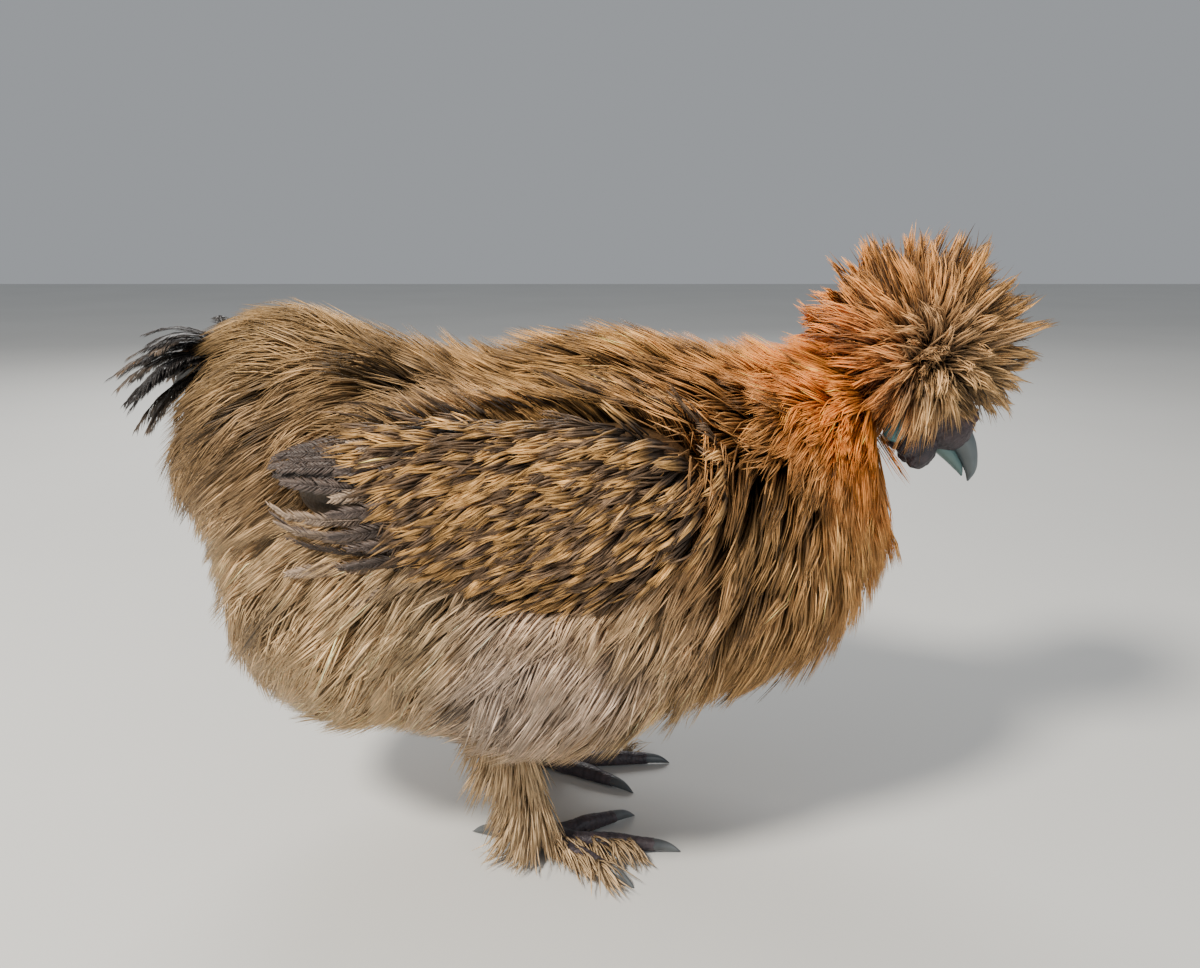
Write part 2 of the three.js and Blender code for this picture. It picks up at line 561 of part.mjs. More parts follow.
function makeNodes() {
  const sides = Object.entries(SIDES);
  const kind = (name) => name.replace(/_(right|left)$/, '');
  const sideOf = (name) => name.match(/_(right|left)$/)?.[1];
  const meet = (one, other) => !sideOf(one) || !sideOf(other) || sideOf(one) === sideOf(other);
  const grownCore = {};
  const core = {};
  Object.keys(SHELLS).forEach((name) => {
    grownCore[name] = form(name, GAP);
    core[name] = form(name, 0);
  });
  const cut = (solid, tools) => tools.reduce((left, tool) => left.subtract(tool), solid);
  const pieces = Object.keys(FACE);
  const faceTools = sides.flatMap(([, side]) => pieces.map((piece) => FACE[piece](side, GAP)));
  const beakTools = [beakUpper(GAP), beakLower(GAP), comb(GAP)];

  Object.keys(CORE_RIVALS).forEach((group) => {
    Object.keys(SHELLS)
      .filter((name) => kind(name) === group)
      .forEach((name) => {
        const rivals = Object.keys(SHELLS).filter((other) => CORE_RIVALS[group].includes(kind(other)) && meet(name, other));
        core[name] = cut(core[name], rivals.map((other) => grownCore[other]));
      });
  });
  core.head = cut(joined([core.head, ...sides.map(([, side]) => lids(side))]), [
    grownCore.neck,
    grownCore.torso,
    ...faceTools,
    ...beakTools,
  ]);
  grownCore.head = joined([grownCore.head, ...sides.map(([, side]) => lids(side, GAP))]);
  core.crest = cut(core.crest, [grownCore.head, grownCore.neck, grownCore.torso]);
  core.tail = cut(tailCore(), [grownCore.saddle, grownCore.fluff]);
  grownCore.tail = tailCore(GAP);

  const plans = {};
  Object.keys(COATS).forEach((name) => {
    plans[name] = plan(name);
  });
  sides.forEach(([label, side]) => {
    plans[`wing_${label}`] = wingPlan(side, label);
    core[`leg_${label}`] = leg(side);
  });
  const locksOf = (name, grow) => {
    if (name === 'tail') return tailVanes(grow);
    return (plans[name] ?? []).map(({ stops, ...size }) => blade(stops, { ...size, grow }));
  };

  const names = LOCK_ORDER.flatMap((group) => Object.keys(core).filter((name) => kind(name) === group));
  const nodes = {};
  const lockTools = {};
  names.forEach((name, place) => {
    const rivals = names.filter((other) => other !== name && meet(name, other));
    const coreTools = rivals.filter((other) => grownCore[other]).map((other) => grownCore[other]);
    const earlier = rivals.filter((other) => names.indexOf(other) < place && lockTools[other]);
    const earlierTools = earlier.map((other) => lockTools[other]);
    const crossed = (lock) => earlierTools.some((tool) => tool.intersect(lock).volume() > lock.volume() * CROSSED);
    const kept = locksOf(name, 0).map((lock) => !crossed(lock));
    const locks = locksOf(name, 0).filter((_, i) => kept[i]);
    const isLeg = kind(name) === 'leg';
    const coat = locks.length ? [cut(joined(locks), [...coreTools, ...earlierTools, ...faceTools, ...beakTools])] : [];
    const base = isLeg ? cut(core[name], [...coreTools, ...earlierTools]) : core[name];
    const whole = joined([base, ...coat]);
    nodes[name] = largest(name === 'neck' || name === 'crest' ? cut(whole, [...faceTools, ...beakTools]) : whole);
    lockTools[name] = locks.length ? joined(locksOf(name, LOCK_GAP).filter((_, i) => kept[i])) : null;
  });
  clearCrumbs(nodes, names);
  nodes.beak_upper = largest(cut(beakUpper(), [beakTools[2]]));
  nodes.beak_lower = largest(cut(beakLower(), [beakTools[0]]));
  nodes.comb = comb();
  sides.forEach(([label, side]) => {
    TOES.forEach((toe) => {
      nodes[`claw_${label}_${toe.name}`] = claw(toe, side).subtract(underFloor);
    });
    pieces.forEach((piece) => {
      nodes[`${piece}_${label}`] = FACE[piece](side, 0);
    });
    nodes[`wattle_${label}`] = largest(cut(nodes[`wattle_${label}`], [beakTools[1]]));
  });
  names
    .filter((name) => name !== 'head')
    .forEach((name) => {
      nodes[name] = largest(nodes[name].asOriginal().simplify(FINE)).warp(nudged);
    });
  return nodes;
}

// Colours by the first word of a node's name.
const COLOURS = {
  torso: 0x9c7a4a,
  neck: 0xa8662c,
  saddle: 0x7d6847,
  fluff: 0xb39b74,
  thigh: 0xa08f74,
  wing: 0x5b4a3c,
  tail: 0x2c2827,
  crest: 0xb08450,
  head: 0x3b3436,
  leg: 0x3a3b40,
  beak: 0x55646b,
  claw: 0x4a5054,
  comb: 0x4f2a30,
  wattle: 0x4f2a30,
  earlobe: 0x4aa3a8,
  eye: 0x140e0c,
};

const material = (colour) => new THREE.MeshStandardMaterial({ color: colour, roughness: 0.8, metalness: 0 });

function meshOf(name, solid) {
  const data = solid.getMesh();
  const places = new Float32Array(data.numVert * 3);
  for (let i = 0; i < data.numVert; i += 1) {
    places.set(data.vertProperties.subarray(i * data.numProp, i * data.numProp + 3), i * 3);
  }
  const geometry = new THREE.BufferGeometry()
    .setAttribute('position', new THREE.BufferAttribute(places, 3))
    .setIndex(new THREE.BufferAttribute(new Uint32Array(data.triVerts), 1));
  geometry.computeVertexNormals();
  const mesh = new THREE.Mesh(geometry, material(COLOURS[name.split('_')[0]]));
  mesh.name = name;
  return mesh;
}

const hen = new THREE.Group();
hen.name = 'silkie_hen';
hen.position.x = SHIFT_X;
Object.entries(makeNodes()).forEach(([name, solid]) => hen.add(meshOf(name, solid)));

export default hen;
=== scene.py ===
"""A silkie hen, life size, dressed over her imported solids: skin, silky coat, feathers, face and feet.

The hen is worked out in millimetres in her own frame (+X forwards, +Y to her left, +Z up), and moved
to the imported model's frame, in metres, when a mesh is made.
"""
import math

import bmesh
import bpy
import numpy as np
from mathutils import Matrix, Vector, kdtree


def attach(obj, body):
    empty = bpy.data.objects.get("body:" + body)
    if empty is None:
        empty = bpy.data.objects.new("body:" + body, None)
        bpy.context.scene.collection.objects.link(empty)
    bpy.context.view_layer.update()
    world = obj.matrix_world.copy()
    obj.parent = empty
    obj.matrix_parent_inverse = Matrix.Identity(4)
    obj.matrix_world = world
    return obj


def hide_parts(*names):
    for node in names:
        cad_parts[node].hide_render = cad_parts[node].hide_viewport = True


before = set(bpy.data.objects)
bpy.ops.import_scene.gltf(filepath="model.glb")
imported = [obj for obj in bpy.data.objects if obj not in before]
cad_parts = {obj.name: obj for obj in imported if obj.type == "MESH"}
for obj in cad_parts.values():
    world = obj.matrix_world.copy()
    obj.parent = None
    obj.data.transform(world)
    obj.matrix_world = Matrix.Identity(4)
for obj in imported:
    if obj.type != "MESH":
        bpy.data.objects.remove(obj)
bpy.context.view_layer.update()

# Frame
MM = 0.001
SHIFT_X = 10.5  # the bird's own middle to the middle of the model's box

# Camera, as the photo was taken
CAMERA_BACK = 400.0
CAMERA_HEIGHT = 226.0
CAMERA_DOWN = math.radians(13.25)
CAMERA_LENS = 33.0
CAMERA_SENSOR = 36.0

# Body
BLEND = 7.0  # how softly the forms run into each other
SKIN_DEPTH = 18.0  # from the tips of the coat down to the skin
CREST_DEPTH = 30.0  # from the tips of the crest down to the skin
WING_DEPTH = 7.5  # from the tips of the wing's short feathers down to the skin
ROOT_SUNK = 1.5  # how far a root goes into the skin
ROOT_LEVEL = -SKIN_DEPTH - ROOT_SUNK
WING_ROOT_LEVEL = -6.0
WING_CLEAR = -9.0  # deeper inside a wing than this, the body has no coat
SKIN_VOXEL = 0.00142
FACE_VOXEL = 0.0005
EYE = (119.5, 11.4, 165.0)
EYE_RADIUS = 5.2
FOOT_SPREAD = 31.0
ANKLE_X = -22.0
SIDES = {"right": -1, "left": 1}
PATCH = 0.003  # how wide a strand's patch is on the unwrap
PIECE_LIMIT = 192000  # triangles in one piece of the coat
SEED = 11


def paired(part, forms):
    """The forms of a part on both sides, from those of the left side."""
    return {
        f"{part}_{label}": [((x, side * y, z), size, pitch) for (x, y, z), size, pitch in forms]
        for label, side in SIDES.items()
    }


# The forms of the body, out to the tips of the coat: middle, half axes and nose-down pitch
FORMS = {
    "torso": [
        ((9, 0, 122), (88, 73, 70), 0),
        ((48, 0, 112), (55, 56, 55), 0),
        ((-40, 0, 112), (56, 66, 60), 0),
    ],
    "saddle": [
        ((-95, 0, 155), (48, 48, 42), 0),
        ((-115, 0, 169), (30, 35, 31), 0),
        ((-119, 0, 142), (39, 42, 28), 0),
        ((-68, 0, 150), (44, 47, 37), 0),
    ],
    "fluff": [((-84, 0, 97), (58, 62, 57), 8)],
    "neck": [
        ((56, 0, 136), (41, 42, 44), 0),
        ((82, 0, 148), (28, 29, 33), 0),
        ((97, 0, 158), (17, 17, 23), 0),
    ],
    **paired("thigh", [((-14, 48, 86), (54, 31, 38), -8)]),
    **paired("wing", [((0, 60, 142), (41, 23, 31), -6), ((-50, 58, 146), (54, 21, 26), -3)]),
    "head": [
        ((114, 0, 168), (21, 15.5, 18), 38),
        ((126, 0, 156), (12.5, 10, 11), 45),
    ],
    "crest": [
        ((118, 0, 188), (41, 40, 39), 0),
        ((98, 0, 182), (26, 28, 24), 0),
    ],
}
BODY = [name for name in FORMS if name not in ("head", "crest")]
FLESH = [name for name in BODY if not name.startswith("wing")]

# How the coat lies at a few places of the right side; the left side mirrors it
LIES = [
    ((80, 0, 185), (-1, 0, -0.1)),
    ((85, -28, 145), (-0.75, -0.1, -0.65)),
    ((112, 0, 125), (-0.25, 0, -1)),
    ((100, 0, 100), (-0.1, 0, -1)),
    ((85, -45, 115), (-0.4, 0, -0.95)),
    ((60, 0, 60), (-0.9, 0, -0.4)),
    ((0, 0, 52), (-1, 0, 0)),
    ((20, 0, 192), (-1, 0, -0.1)),
    ((-40, 0, 185), (-1, 0, 0.12)),
    ((-100, 0, 198), (-1, 0, 0)),
    ((-150, 0, 160), (-0.3, 0, -1)),
    ((-110, -45, 155), (-0.8, -0.1, -0.55)),
    ((40, -60, 130), (-0.75, 0, -0.6)),
    ((10, -72, 110), (-0.65, 0, -0.75)),
    ((20, -60, 75), (-0.75, 0, -0.6)),
    ((-20, -75, 85), (-0.55, 0, -0.85)),
    ((-90, -60, 95), (-0.6, 0, -0.8)),
    ((-135, 0, 95), (-0.25, 0, -1)),
    ((-80, 0, 48), (-0.9, 0, -0.3)),
]
# The plumage at a few places of the right side: colour near the tips, share of dark streaks,
# and how dark the roots are
PLUMAGE = [
    ((45, 0, 190), (0.46, 0.25, 0.080), 0.52, 0.14),
    ((0, 0, 192), (0.48, 0.27, 0.090), 0.55, 0.12),
    ((-10, -45, 178), (0.50, 0.29, 0.100), 0.58, 0.10),
    ((-45, 0, 187), (0.40, 0.24, 0.090), 0.48, 0.18),
    ((52, -42, 168), (0.38, 0.20, 0.065), 0.35, 0.30),
    ((70, -34, 168), (0.70, 0.24, 0.035), 0.05, 0.55),
    ((82, -32, 152), (0.70, 0.24, 0.035), 0.05, 0.55),
    ((95, -22, 145), (0.70, 0.24, 0.035), 0.02, 0.60),
    ((95, -10, 175), (0.70, 0.24, 0.035), 0.02, 0.60),
    ((72, -8, 180), (0.66, 0.24, 0.040), 0.05, 0.50),
    ((104, -8, 140), (0.66, 0.27, 0.050), 0.02, 0.60),
    ((68, -48, 140), (0.34, 0.19, 0.070), 0.60, 0.18),
    ((55, -62, 125), (0.36, 0.22, 0.090), 0.45, 0.25),
    ((108, 0, 120), (0.60, 0.30, 0.080), 0.10, 0.50),
    ((100, 0, 95), (0.50, 0.29, 0.100), 0.15, 0.40),
    ((88, -40, 115), (0.58, 0.33, 0.120), 0.15, 0.42),
    ((75, -55, 95), (0.54, 0.33, 0.140), 0.18, 0.42),
    ((60, -50, 70), (0.46, 0.29, 0.120), 0.20, 0.40),
    ((10, -72, 98), (0.48, 0.34, 0.190), 0.10, 0.50),
    ((0, -78, 84), (0.44, 0.36, 0.300), 0.02, 0.60),
    ((-28, -76, 82), (0.46, 0.38, 0.320), 0.02, 0.60),
    ((-60, -68, 95), (0.52, 0.39, 0.230), 0.05, 0.55),
    ((20, -50, 60), (0.50, 0.36, 0.180), 0.12, 0.45),
    ((-95, 0, 198), (0.32, 0.21, 0.095), 0.25, 0.35),
    ((-70, -35, 180), (0.28, 0.18, 0.080), 0.35, 0.30),
    ((-125, -20, 185), (0.33, 0.22, 0.100), 0.22, 0.38),
    ((-110, -45, 155), (0.29, 0.19, 0.095), 0.25, 0.35),
    ((-150, 0, 150), (0.36, 0.24, 0.120), 0.15, 0.40),
    ((-95, -58, 110), (0.54, 0.39, 0.220), 0.05, 0.55),
    ((-130, -30, 105), (0.62, 0.45, 0.260), 0.03, 0.60),
    ((-135, 0, 85), (0.66, 0.50, 0.300), 0.02, 0.60),
    ((-90, -45, 62), (0.62, 0.46, 0.260), 0.03, 0.60),
    ((0, 0, 52), (0.56, 0.42, 0.240), 0.05, 0.55),
]
# Where the coat lies lower or stands higher than the forms: place, reach and height
LIFTS = [
    ((-45, 0, 188), 34.0, -13.0),
    ((66, 0, 184), 30.0, -11.0),
    ((-60, -45, 118), 22.0, 2.0),
    ((-150, 0, 172), 24.0, -9.0),
]
# The crest's colours, right side: place and colour near the tips
CREST_COLOURS = [
    ((75, -20, 190), (0.66, 0.23, 0.045)),
    ((90, -25, 170), (0.70, 0.26, 0.050)),
    ((110, 0, 228), (0.58, 0.27, 0.070)),
    ((95, -15, 212), (0.54, 0.25, 0.065)),
    ((140, -10, 218), (0.56, 0.30, 0.090)),
    ((158, -10, 190), (0.46, 0.27, 0.095)),
    ((112, -40, 190), (0.30, 0.19, 0.095)),
    ((112, -38, 165), (0.62, 0.43, 0.210)),
    ((140, -25, 168), (0.52, 0.34, 0.150)),
]
FACE_COLOUR = np.array((0.040, 0.033, 0.038))

rng = np.random.default_rng(SEED)


# Arrays and fields


def unit(vectors):
    return vectors / np.maximum(np.linalg.norm(vectors, axis=-1, keepdims=True), 1e-9)


def smooth_step(value, low, high):
    share = np.clip((value - low) / (high - low), 0, 1)
    return share * share * (3 - 2 * share)


def bell(value, middle, wide):
    return np.exp(-(((value - middle) / wide) ** 2))


def field(points, names):
    """The distance from points to the named forms run softly together, and the way out there."""
    values = []
    normals = []
    for at, size, pitch in (form for name in names for form in FORMS[name]):
        cos, sin = math.cos(math.radians(pitch)), math.sin(math.radians(pitch))
        turn = np.array(((cos, 0, -sin), (0, 1, 0), (sin, 0, cos)))
        local = (points - np.array(at, float)) @ turn.T
        size = np.array(size, float)
        scaled = np.linalg.norm(local / size, axis=-1)
        slope = local / size**2
        steep = np.maximum(np.linalg.norm(slope, axis=-1), 1e-9)
        values.append(scaled * (scaled - 1) / steep)
        normals.append(slope / steep[..., None] @ turn)
    values = np.stack(values)
    least = values.min(0)
    weights = np.exp(-(values - least) / BLEND)
    total = weights.sum(0)
    distance = least - BLEND * np.log(total)
    normal = (weights[..., None] * np.stack(normals)).sum(0) / total[..., None]
    return distance, unit(normal)


def reach(names, centre, ways, level):
    """How far along each direction from the centre the field reaches the level."""
    outer = np.full(len(ways), 2.0)
    for _ in range(120):
        inside = field(centre + ways * outer[:, None], names)[0] < level
        if not inside.any():
            break
        outer[inside] += 2.0
    inner = np.maximum(outer - 2.0, 0.0)
    for _ in range(8):
        middle = (inner + outer) / 2
        inside = field(centre + ways * middle[:, None], names)[0] < level
        inner = np.where(inside, middle, inner)
        outer = np.where(inside, outer, middle)
    return (inner + outer) / 2


def directions(count):
    """An even spread of directions over a ball."""
    i = np.arange(count)
    z = 1 - (2 * i + 1) / count
    ring = np.sqrt(1 - z * z)
    turn = i * math.pi * (3 - math.sqrt(5))
    return np.stack([ring * np.cos(turn), ring * np.sin(turn), z], -1)


def folded(points):
    """The points brought to the right side, and the sign that takes them back."""
    side = np.where(points[:, 1:2] > 0, -1.0, 1.0)
    return points * np.concatenate([np.ones_like(side), side, np.ones_like(side)], 1), side


def near_mix(points, places, values, soft):
    """Mixes values given at places of the right side, by how near each is."""
    near, side = folded(points)
    apart = np.linalg.norm(near[:, None] - np.array(places, float)[None], axis=-1)
    weight = 1 / (apart**3 + soft)
    mix = (weight[..., None] * np.array(values, float)[None]).sum(1) / weight.sum(1, keepdims=True)
    return mix, side


def body_lie(points):
    way, side = near_mix(points, *zip(*LIES), 200.0)
    way[:, 1:2] *= side
    return unit(way)


def plumage(points):
    """Colour, share of streaks and darkness of the roots at each point."""
    places, colours, streaks, roots = zip(*PLUMAGE)
    values = np.concatenate([colours, np.array(streaks)[:, None], np.array(roots)[:, None]], 1)
    mix, _ = near_mix(points, places, values, 1200.0)
    return mix[:, :3], mix[:, 3], mix[:, 4]


def lifted(points):
    near, _ = folded(points)
    total = np.zeros(len(points))
    for place, wide, height in LIFTS:
        apart = np.linalg.norm(near - np.array(place, float), axis=-1)
        total += height * bell(apart, 0, wide)
    return total


def turned(vectors, axes, angle):
    """Vectors turned about unit axes at right angles to them."""
    angle = np.asarray(angle)[:, None]
    return vectors * np.cos(angle) + np.cross(axes, vectors) * np.sin(angle)


def walk(names, lie, roots, length, turn, low, high, shares, ease):
    """Lines that follow the lie from their roots, rising from the low level to the high one."""
    place = roots.copy()
    line = []
    normals = []
    for i, share in enumerate(shares):
        _, normal = field(place, names)
        way = lie(place)
        way = turned(unit(way - normal * (way * normal).sum(-1, keepdims=True)), normal, turn)
        if i:
            place = place + way * (length * (share - shares[i - 1]))[:, None]
        level = low + (high - low) * (1 - (1 - share) ** ease)
        for _ in range(2):
            distance, normal = field(place, names)
            place = place + normal * (level - distance)[:, None]
        line.append(place)
        normals.append(normal)
    return np.stack(line, 1), np.stack(normals, 1)


def nearest(places, guides):
    tree = kdtree.KDTree(len(guides))
    for i, guide in enumerate(guides):
        tree.insert(guide, i)
    tree.balance()
    return np.array([tree.find(place)[1] for place in places])


# Meshes


def to_model(points):
    return (points + np.array((SHIFT_X, 0, 0))) * MM


def mesh_object(name, points, faces):
    """A mesh of points in millimetres in the bird's frame; faces all have the same number of corners."""
    mesh = bpy.data.meshes.new(name)
    corners = faces.shape[1]
    mesh.vertices.add(len(points))
    mesh.vertices.foreach_set("co", to_model(points).astype(np.float32).ravel())
    mesh.loops.add(faces.size)
    mesh.loops.foreach_set("vertex_index", faces.astype(np.int32).ravel())
    mesh.polygons.add(len(faces))
    mesh.polygons.foreach_set("loop_start", np.arange(0, faces.size, corners, dtype=np.int32))
    mesh.update(calc_edges=True)
    mesh.polygons.foreach_set("use_smooth", np.ones(len(faces), bool))
    obj = bpy.data.objects.new(name, mesh)
    bpy.context.scene.collection.objects.link(obj)
    return obj


def paint(obj, colours):
    """Writes one colour a vertex to the mesh."""
    layer = obj.data.color_attributes.new("Markings", "FLOAT_COLOR", "POINT")
    full = np.ones((len(colours), 4), np.float32)
    full[:, :3] = np.clip(colours, 0, 1)
    layer.data.foreach_set("color", full.ravel())


def finished(obj, finish, slot, *nodes):
    obj.data.materials.clear()
    obj.data.materials.append(finish)
    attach(obj, "root")
    if nodes:
        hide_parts(*nodes)


def lofted(name, rings):
    """A mesh through rings of places (ring, place, 3), closed at both ends."""
    count, sides, _ = rings.shape
    points = np.concatenate([rings.reshape(-1, 3), rings[:1].mean(1), rings[-1:].mean(1)])
    faces = []
    for ring in range(count - 1):
        for side in range(sides):
            a, b = ring * sides + side, ring * sides + (side + 1) % sides
            faces += [(a, b, b + sides), (a, b + sides, a + sides)]
    first, last = count * sides, count * sides + 1
    for side in range(sides):
        after = (side + 1) % sides
        faces.append((after, side, first))
        faces.append(((count - 1) * sides + side, (count - 1) * sides + after, last))
    return mesh_object(name, points, np.array(faces))


def curve_through(stops, count):
    """Smooths rows of numbers into count rows on a soft curve through them."""
    stops = np.array(stops, float)
    padded = np.concatenate([stops[:1] * 2 - stops[1:2], stops, stops[-1:] * 2 - stops[-2:-1]])
    at = np.linspace(0, len(stops) - 1, count)
    i = np.minimum(at.astype(int), len(stops) - 2)
    t = (at - i)[:, None]
    a, b, c, d = (padded[i + k] for k in range(4))
    return 0.5 * (2 * b + (c - a) * t + (2 * a - 5 * b + 4 * c - d) * t**2 + (3 * b - a - 3 * c + d) * t**3)


def ringed(stops, count, sides, up, shape=None):
    """Rings round a curve; each stop is x, y, z, half width and half height."""
    rows = curve_through(stops, count)
    middle, wide, high = rows[:, :3], np.abs(rows[:, 3:4]), np.abs(rows[:, 4:5])
    along = unit(np.gradient(middle, axis=0))
    across = unit(np.cross(along, np.array(up, float)))
    above = np.cross(across, along)
    turn = np.linspace(0, 2 * math.pi, sides, endpoint=False)
    out = np.cos(turn)[None, :, None] * across[:, None] * wide[:, None]
    lift = np.sin(turn)
    if shape is not None:
        lift = shape(lift)
    return middle[:, None] + out + lift[None, :, None] * above[:, None] * high[:, None]


def strand_mesh(name, lines, normals, half, flat, colours, patches):
    """Closed three-sided strands, each a flat base with a ridge, through lines of places to a tip.

    lines and normals are (strand, place, 3), half the half width (strand, place), flat the ridge's
    height as a share of it, colours (strand, place, 3), and patches the root's place on the unwrap.
    """
    count, stops = half.shape
    along = np.empty_like(lines)
    along[:, :-1] = lines[:, 1:] - lines[:, :-1]
    along[:, -1] = along[:, -2]
    across = unit(np.cross(unit(along), normals))
    above = np.cross(across, unit(along))
    body = slice(0, stops - 1)
    width = half[:, body, None]
    right = lines[:, body] + across[:, body] * width
    ridge = lines[:, body] + above[:, body] * width * flat
    left = lines[:, body] - across[:, body] * width
    rings = np.stack([right, ridge, left], 2).reshape(count, (stops - 1) * 3, 3)
    points = np.concatenate([rings, lines[:, -1:]], 1)
    per = points.shape[1]
    faces = []
    for ring in range(stops - 2):
        for side in range(3):
            a, b = ring * 3 + side, ring * 3 + (side + 1) % 3
            faces += [(a, b, b + 3), (a, b + 3, a + 3)]
    last = (stops - 2) * 3
    faces += [(last + side, last + (side + 1) % 3, per - 1) for side in range(3)]
    faces.append((0, 2, 1))
    everything = (np.array(faces)[None] + np.arange(count)[:, None, None] * per).reshape(-1, 3)
    obj = mesh_object(name, points.reshape(-1, 3), everything)
    tones = np.concatenate([np.repeat(colours[:, :-1], 3, 1), colours[:, -1:]], 1)
    paint(obj, tones.reshape(-1, 3))
    share = np.concatenate([np.repeat(np.linspace(0, 1, stops)[:-1], 3), [1.0]])
    side = np.concatenate([np.tile([0.0, 0.5, 1.0], stops - 1), [0.5]])
    spot = np.stack([side, share], -1) * PATCH - PATCH / 2
    places = (patches[:, None] + spot[None]).reshape(-1, 2)
    layer = obj.data.uv_layers.new(name="OFBake")
    layer.data.foreach_set("uv", places[everything.ravel()].astype(np.float32).ravel())
    return obj


def unwrapped(points, centre, spread):
    """The place of each point on an unwrap of its form: round it, and from top to bottom."""
    way = unit((points - np.array(centre, float)) / np.array(spread, float))
    u = np.arctan2(way[:, 1], way[:, 0]) / (2 * math.pi) + 0.5
    v = np.arccos(np.clip(way[:, 2], -1, 1)) / math.pi
    return 0.01 + 0.98 * np.stack([u, v], -1)


# Materials


def material(name, roughness, specular=0.3):
    """A material, and helpers that add its nodes and link a socket to its shader."""
    made = bpy.data.materials.new(name)
    made.use_nodes = True
    nodes = made.node_tree.nodes
    shader = nodes["Principled BSDF"]
    shader.inputs["Roughness"].default_value = roughness
    shader.inputs["Specular IOR Level"].default_value = specular

    def add(kind, values=None, **settings):
        node = nodes.new(kind)
        for key, value in settings.items():
            setattr(node, key, value)
        for key, value in (values or {}).items():
            if isinstance(value, bpy.types.NodeSocket):
                made.node_tree.links.new(value, node.inputs[key])
            else:
                node.inputs[key].default_value = value
        return node

    def link(socket, name):
        made.node_tree.links.new(socket, shader.inputs[name])

    return made, add, link


def ramp(add, socket, stops):
    node = add("ShaderNodeValToRGB", {"Fac": socket})
    while len(node.color_ramp.elements) < len(stops):
        node.color_ramp.elements.new(0.5)
    for element, (place, colour) in zip(node.color_ramp.elements, stops):
        element.position = place
        element.color = (*colour, 1)
    return node.outputs["Color"]


def two_tones(add, scale, dark, light):
    """A noise that goes softly from a dark tone to a light one."""
    place = add("ShaderNodeTexCoord").outputs["Object"]
    grain = add("ShaderNodeTexNoise", {"Vector": place, "Scale": scale, "Detail": 3.0})
    return ramp(add, grain.outputs["Fac"], [(0.3, dark), (0.7, light)])


def cell_relief(add, link, scale, depth):
    place = add("ShaderNodeTexCoord").outputs["Object"]
    cells = add("ShaderNodeTexVoronoi", {"Vector": place, "Scale": scale}).outputs["Distance"]
    bump = add("ShaderNodeBump", {"Height": cells, "Distance": depth, "Strength": 0.5})
    link(bump.outputs["Normal"], "Normal")


def painted_material(name, roughness, specular, scale, dark, light):
    """The colours painted on the mesh, with a fine change of tone."""
    made, add, link = material(name, roughness, specular)
    base = add("ShaderNodeVertexColor", layer_name="Markings").outputs["Color"]
    both = {0: 1.0, 6: base, 7: two_tones(add, scale, dark, light)}
    link(add("ShaderNodeMix", both, data_type="RGBA", blend_type="MULTIPLY").outputs[2], "Base Color")
    return made, add, link


def bare_material(name, dark, light, scale, roughness, depth):
    """Bare skin or horn: two tones in a noise, with a cell relief."""
    made, add, link = material(name, roughness, 0.4)
    link(two_tones(add, scale * 0.4, dark, light), "Base Color")
    cell_relief(add, link, scale, depth)
    return made


def eye_material():
    """A dark brown iris round a black pupil, seen along the eye's own y axis, wet over all."""
    made, add, link = material("wet_eye", 0.04, 0.6)
    place = add("ShaderNodeTexCoord")
    parts = add("ShaderNodeSeparateXYZ", {"Vector": place.outputs["Object"]})
    flat = add("ShaderNodeCombineXYZ", {"X": parts.outputs["X"], "Z": parts.outputs["Z"]})
    far = add("ShaderNodeVectorMath", {0: flat.outputs["Vector"]}, operation="LENGTH")
    share = add("ShaderNodeMath", {0: far.outputs["Value"], 1: EYE_RADIUS * MM}, operation="DIVIDE")
    link(ramp(add, share.outputs["Value"], EYE_RINGS), "Base Color")
    shader = made.node_tree.nodes["Principled BSDF"]
    shader.inputs["Coat Weight"].default_value = 1.0
    shader.inputs["Coat Roughness"].default_value = 0.03
    return made


# The eye's colours from its middle to its rim, at shares of its radius
EYE_RINGS = [
    (0.0, (0.002, 0.002, 0.002)),
    (0.30, (0.002, 0.002, 0.002)),
    (0.34, (0.055, 0.020, 0.010)),
    (0.56, (0.030, 0.012, 0.008)),
    (0.64, (0.010, 0.008, 0.008)),
]
FEATHER_GRAIN = (420.0, (0.84, 0.79, 0.76), (1.28, 1.18, 1.08))
SKIN_GRAIN = (260.0, (0.65, 0.65, 0.68), (1.35, 1.25, 1.25))
# Skin and horn: dark and light tone, how many cells in a metre, roughness and depth of the relief
BARE = {
    "comb_skin": ((0.030, 0.016, 0.020), (0.085, 0.036, 0.042), 900.0, 0.4, 0.0005),
    "wattle_skin": ((0.022, 0.020, 0.025), (0.060, 0.045, 0.052), 900.0, 0.45, 0.0005),
    "earlobe_skin": ((0.050, 0.150, 0.165), (0.110, 0.260, 0.270), 800.0, 0.45, 0.0003),
    "beak_horn": ((0.070, 0.085, 0.095), (0.150, 0.175, 0.180), 160.0, 0.35, 0.0001),
    "lower_beak_horn": ((0.060, 0.110, 0.110), (0.130, 0.210, 0.200), 160.0, 0.35, 0.0001),
    "claw_horn": ((0.045, 0.050, 0.055), (0.120, 0.130, 0.135), 260.0, 0.35, 0.0001),
}
MATERIALS = {name: bare_material(name, *look) for name, look in BARE.items()}
MATERIALS["coat"] = painted_material("coat_feather", 0.5, 0.3, *FEATHER_GRAIN)[0]
MATERIALS["vane"] = painted_material("vane_feather", 0.45, 0.35, *FEATHER_GRAIN)[0]
MATERIALS["eye"] = eye_material()


# The camera


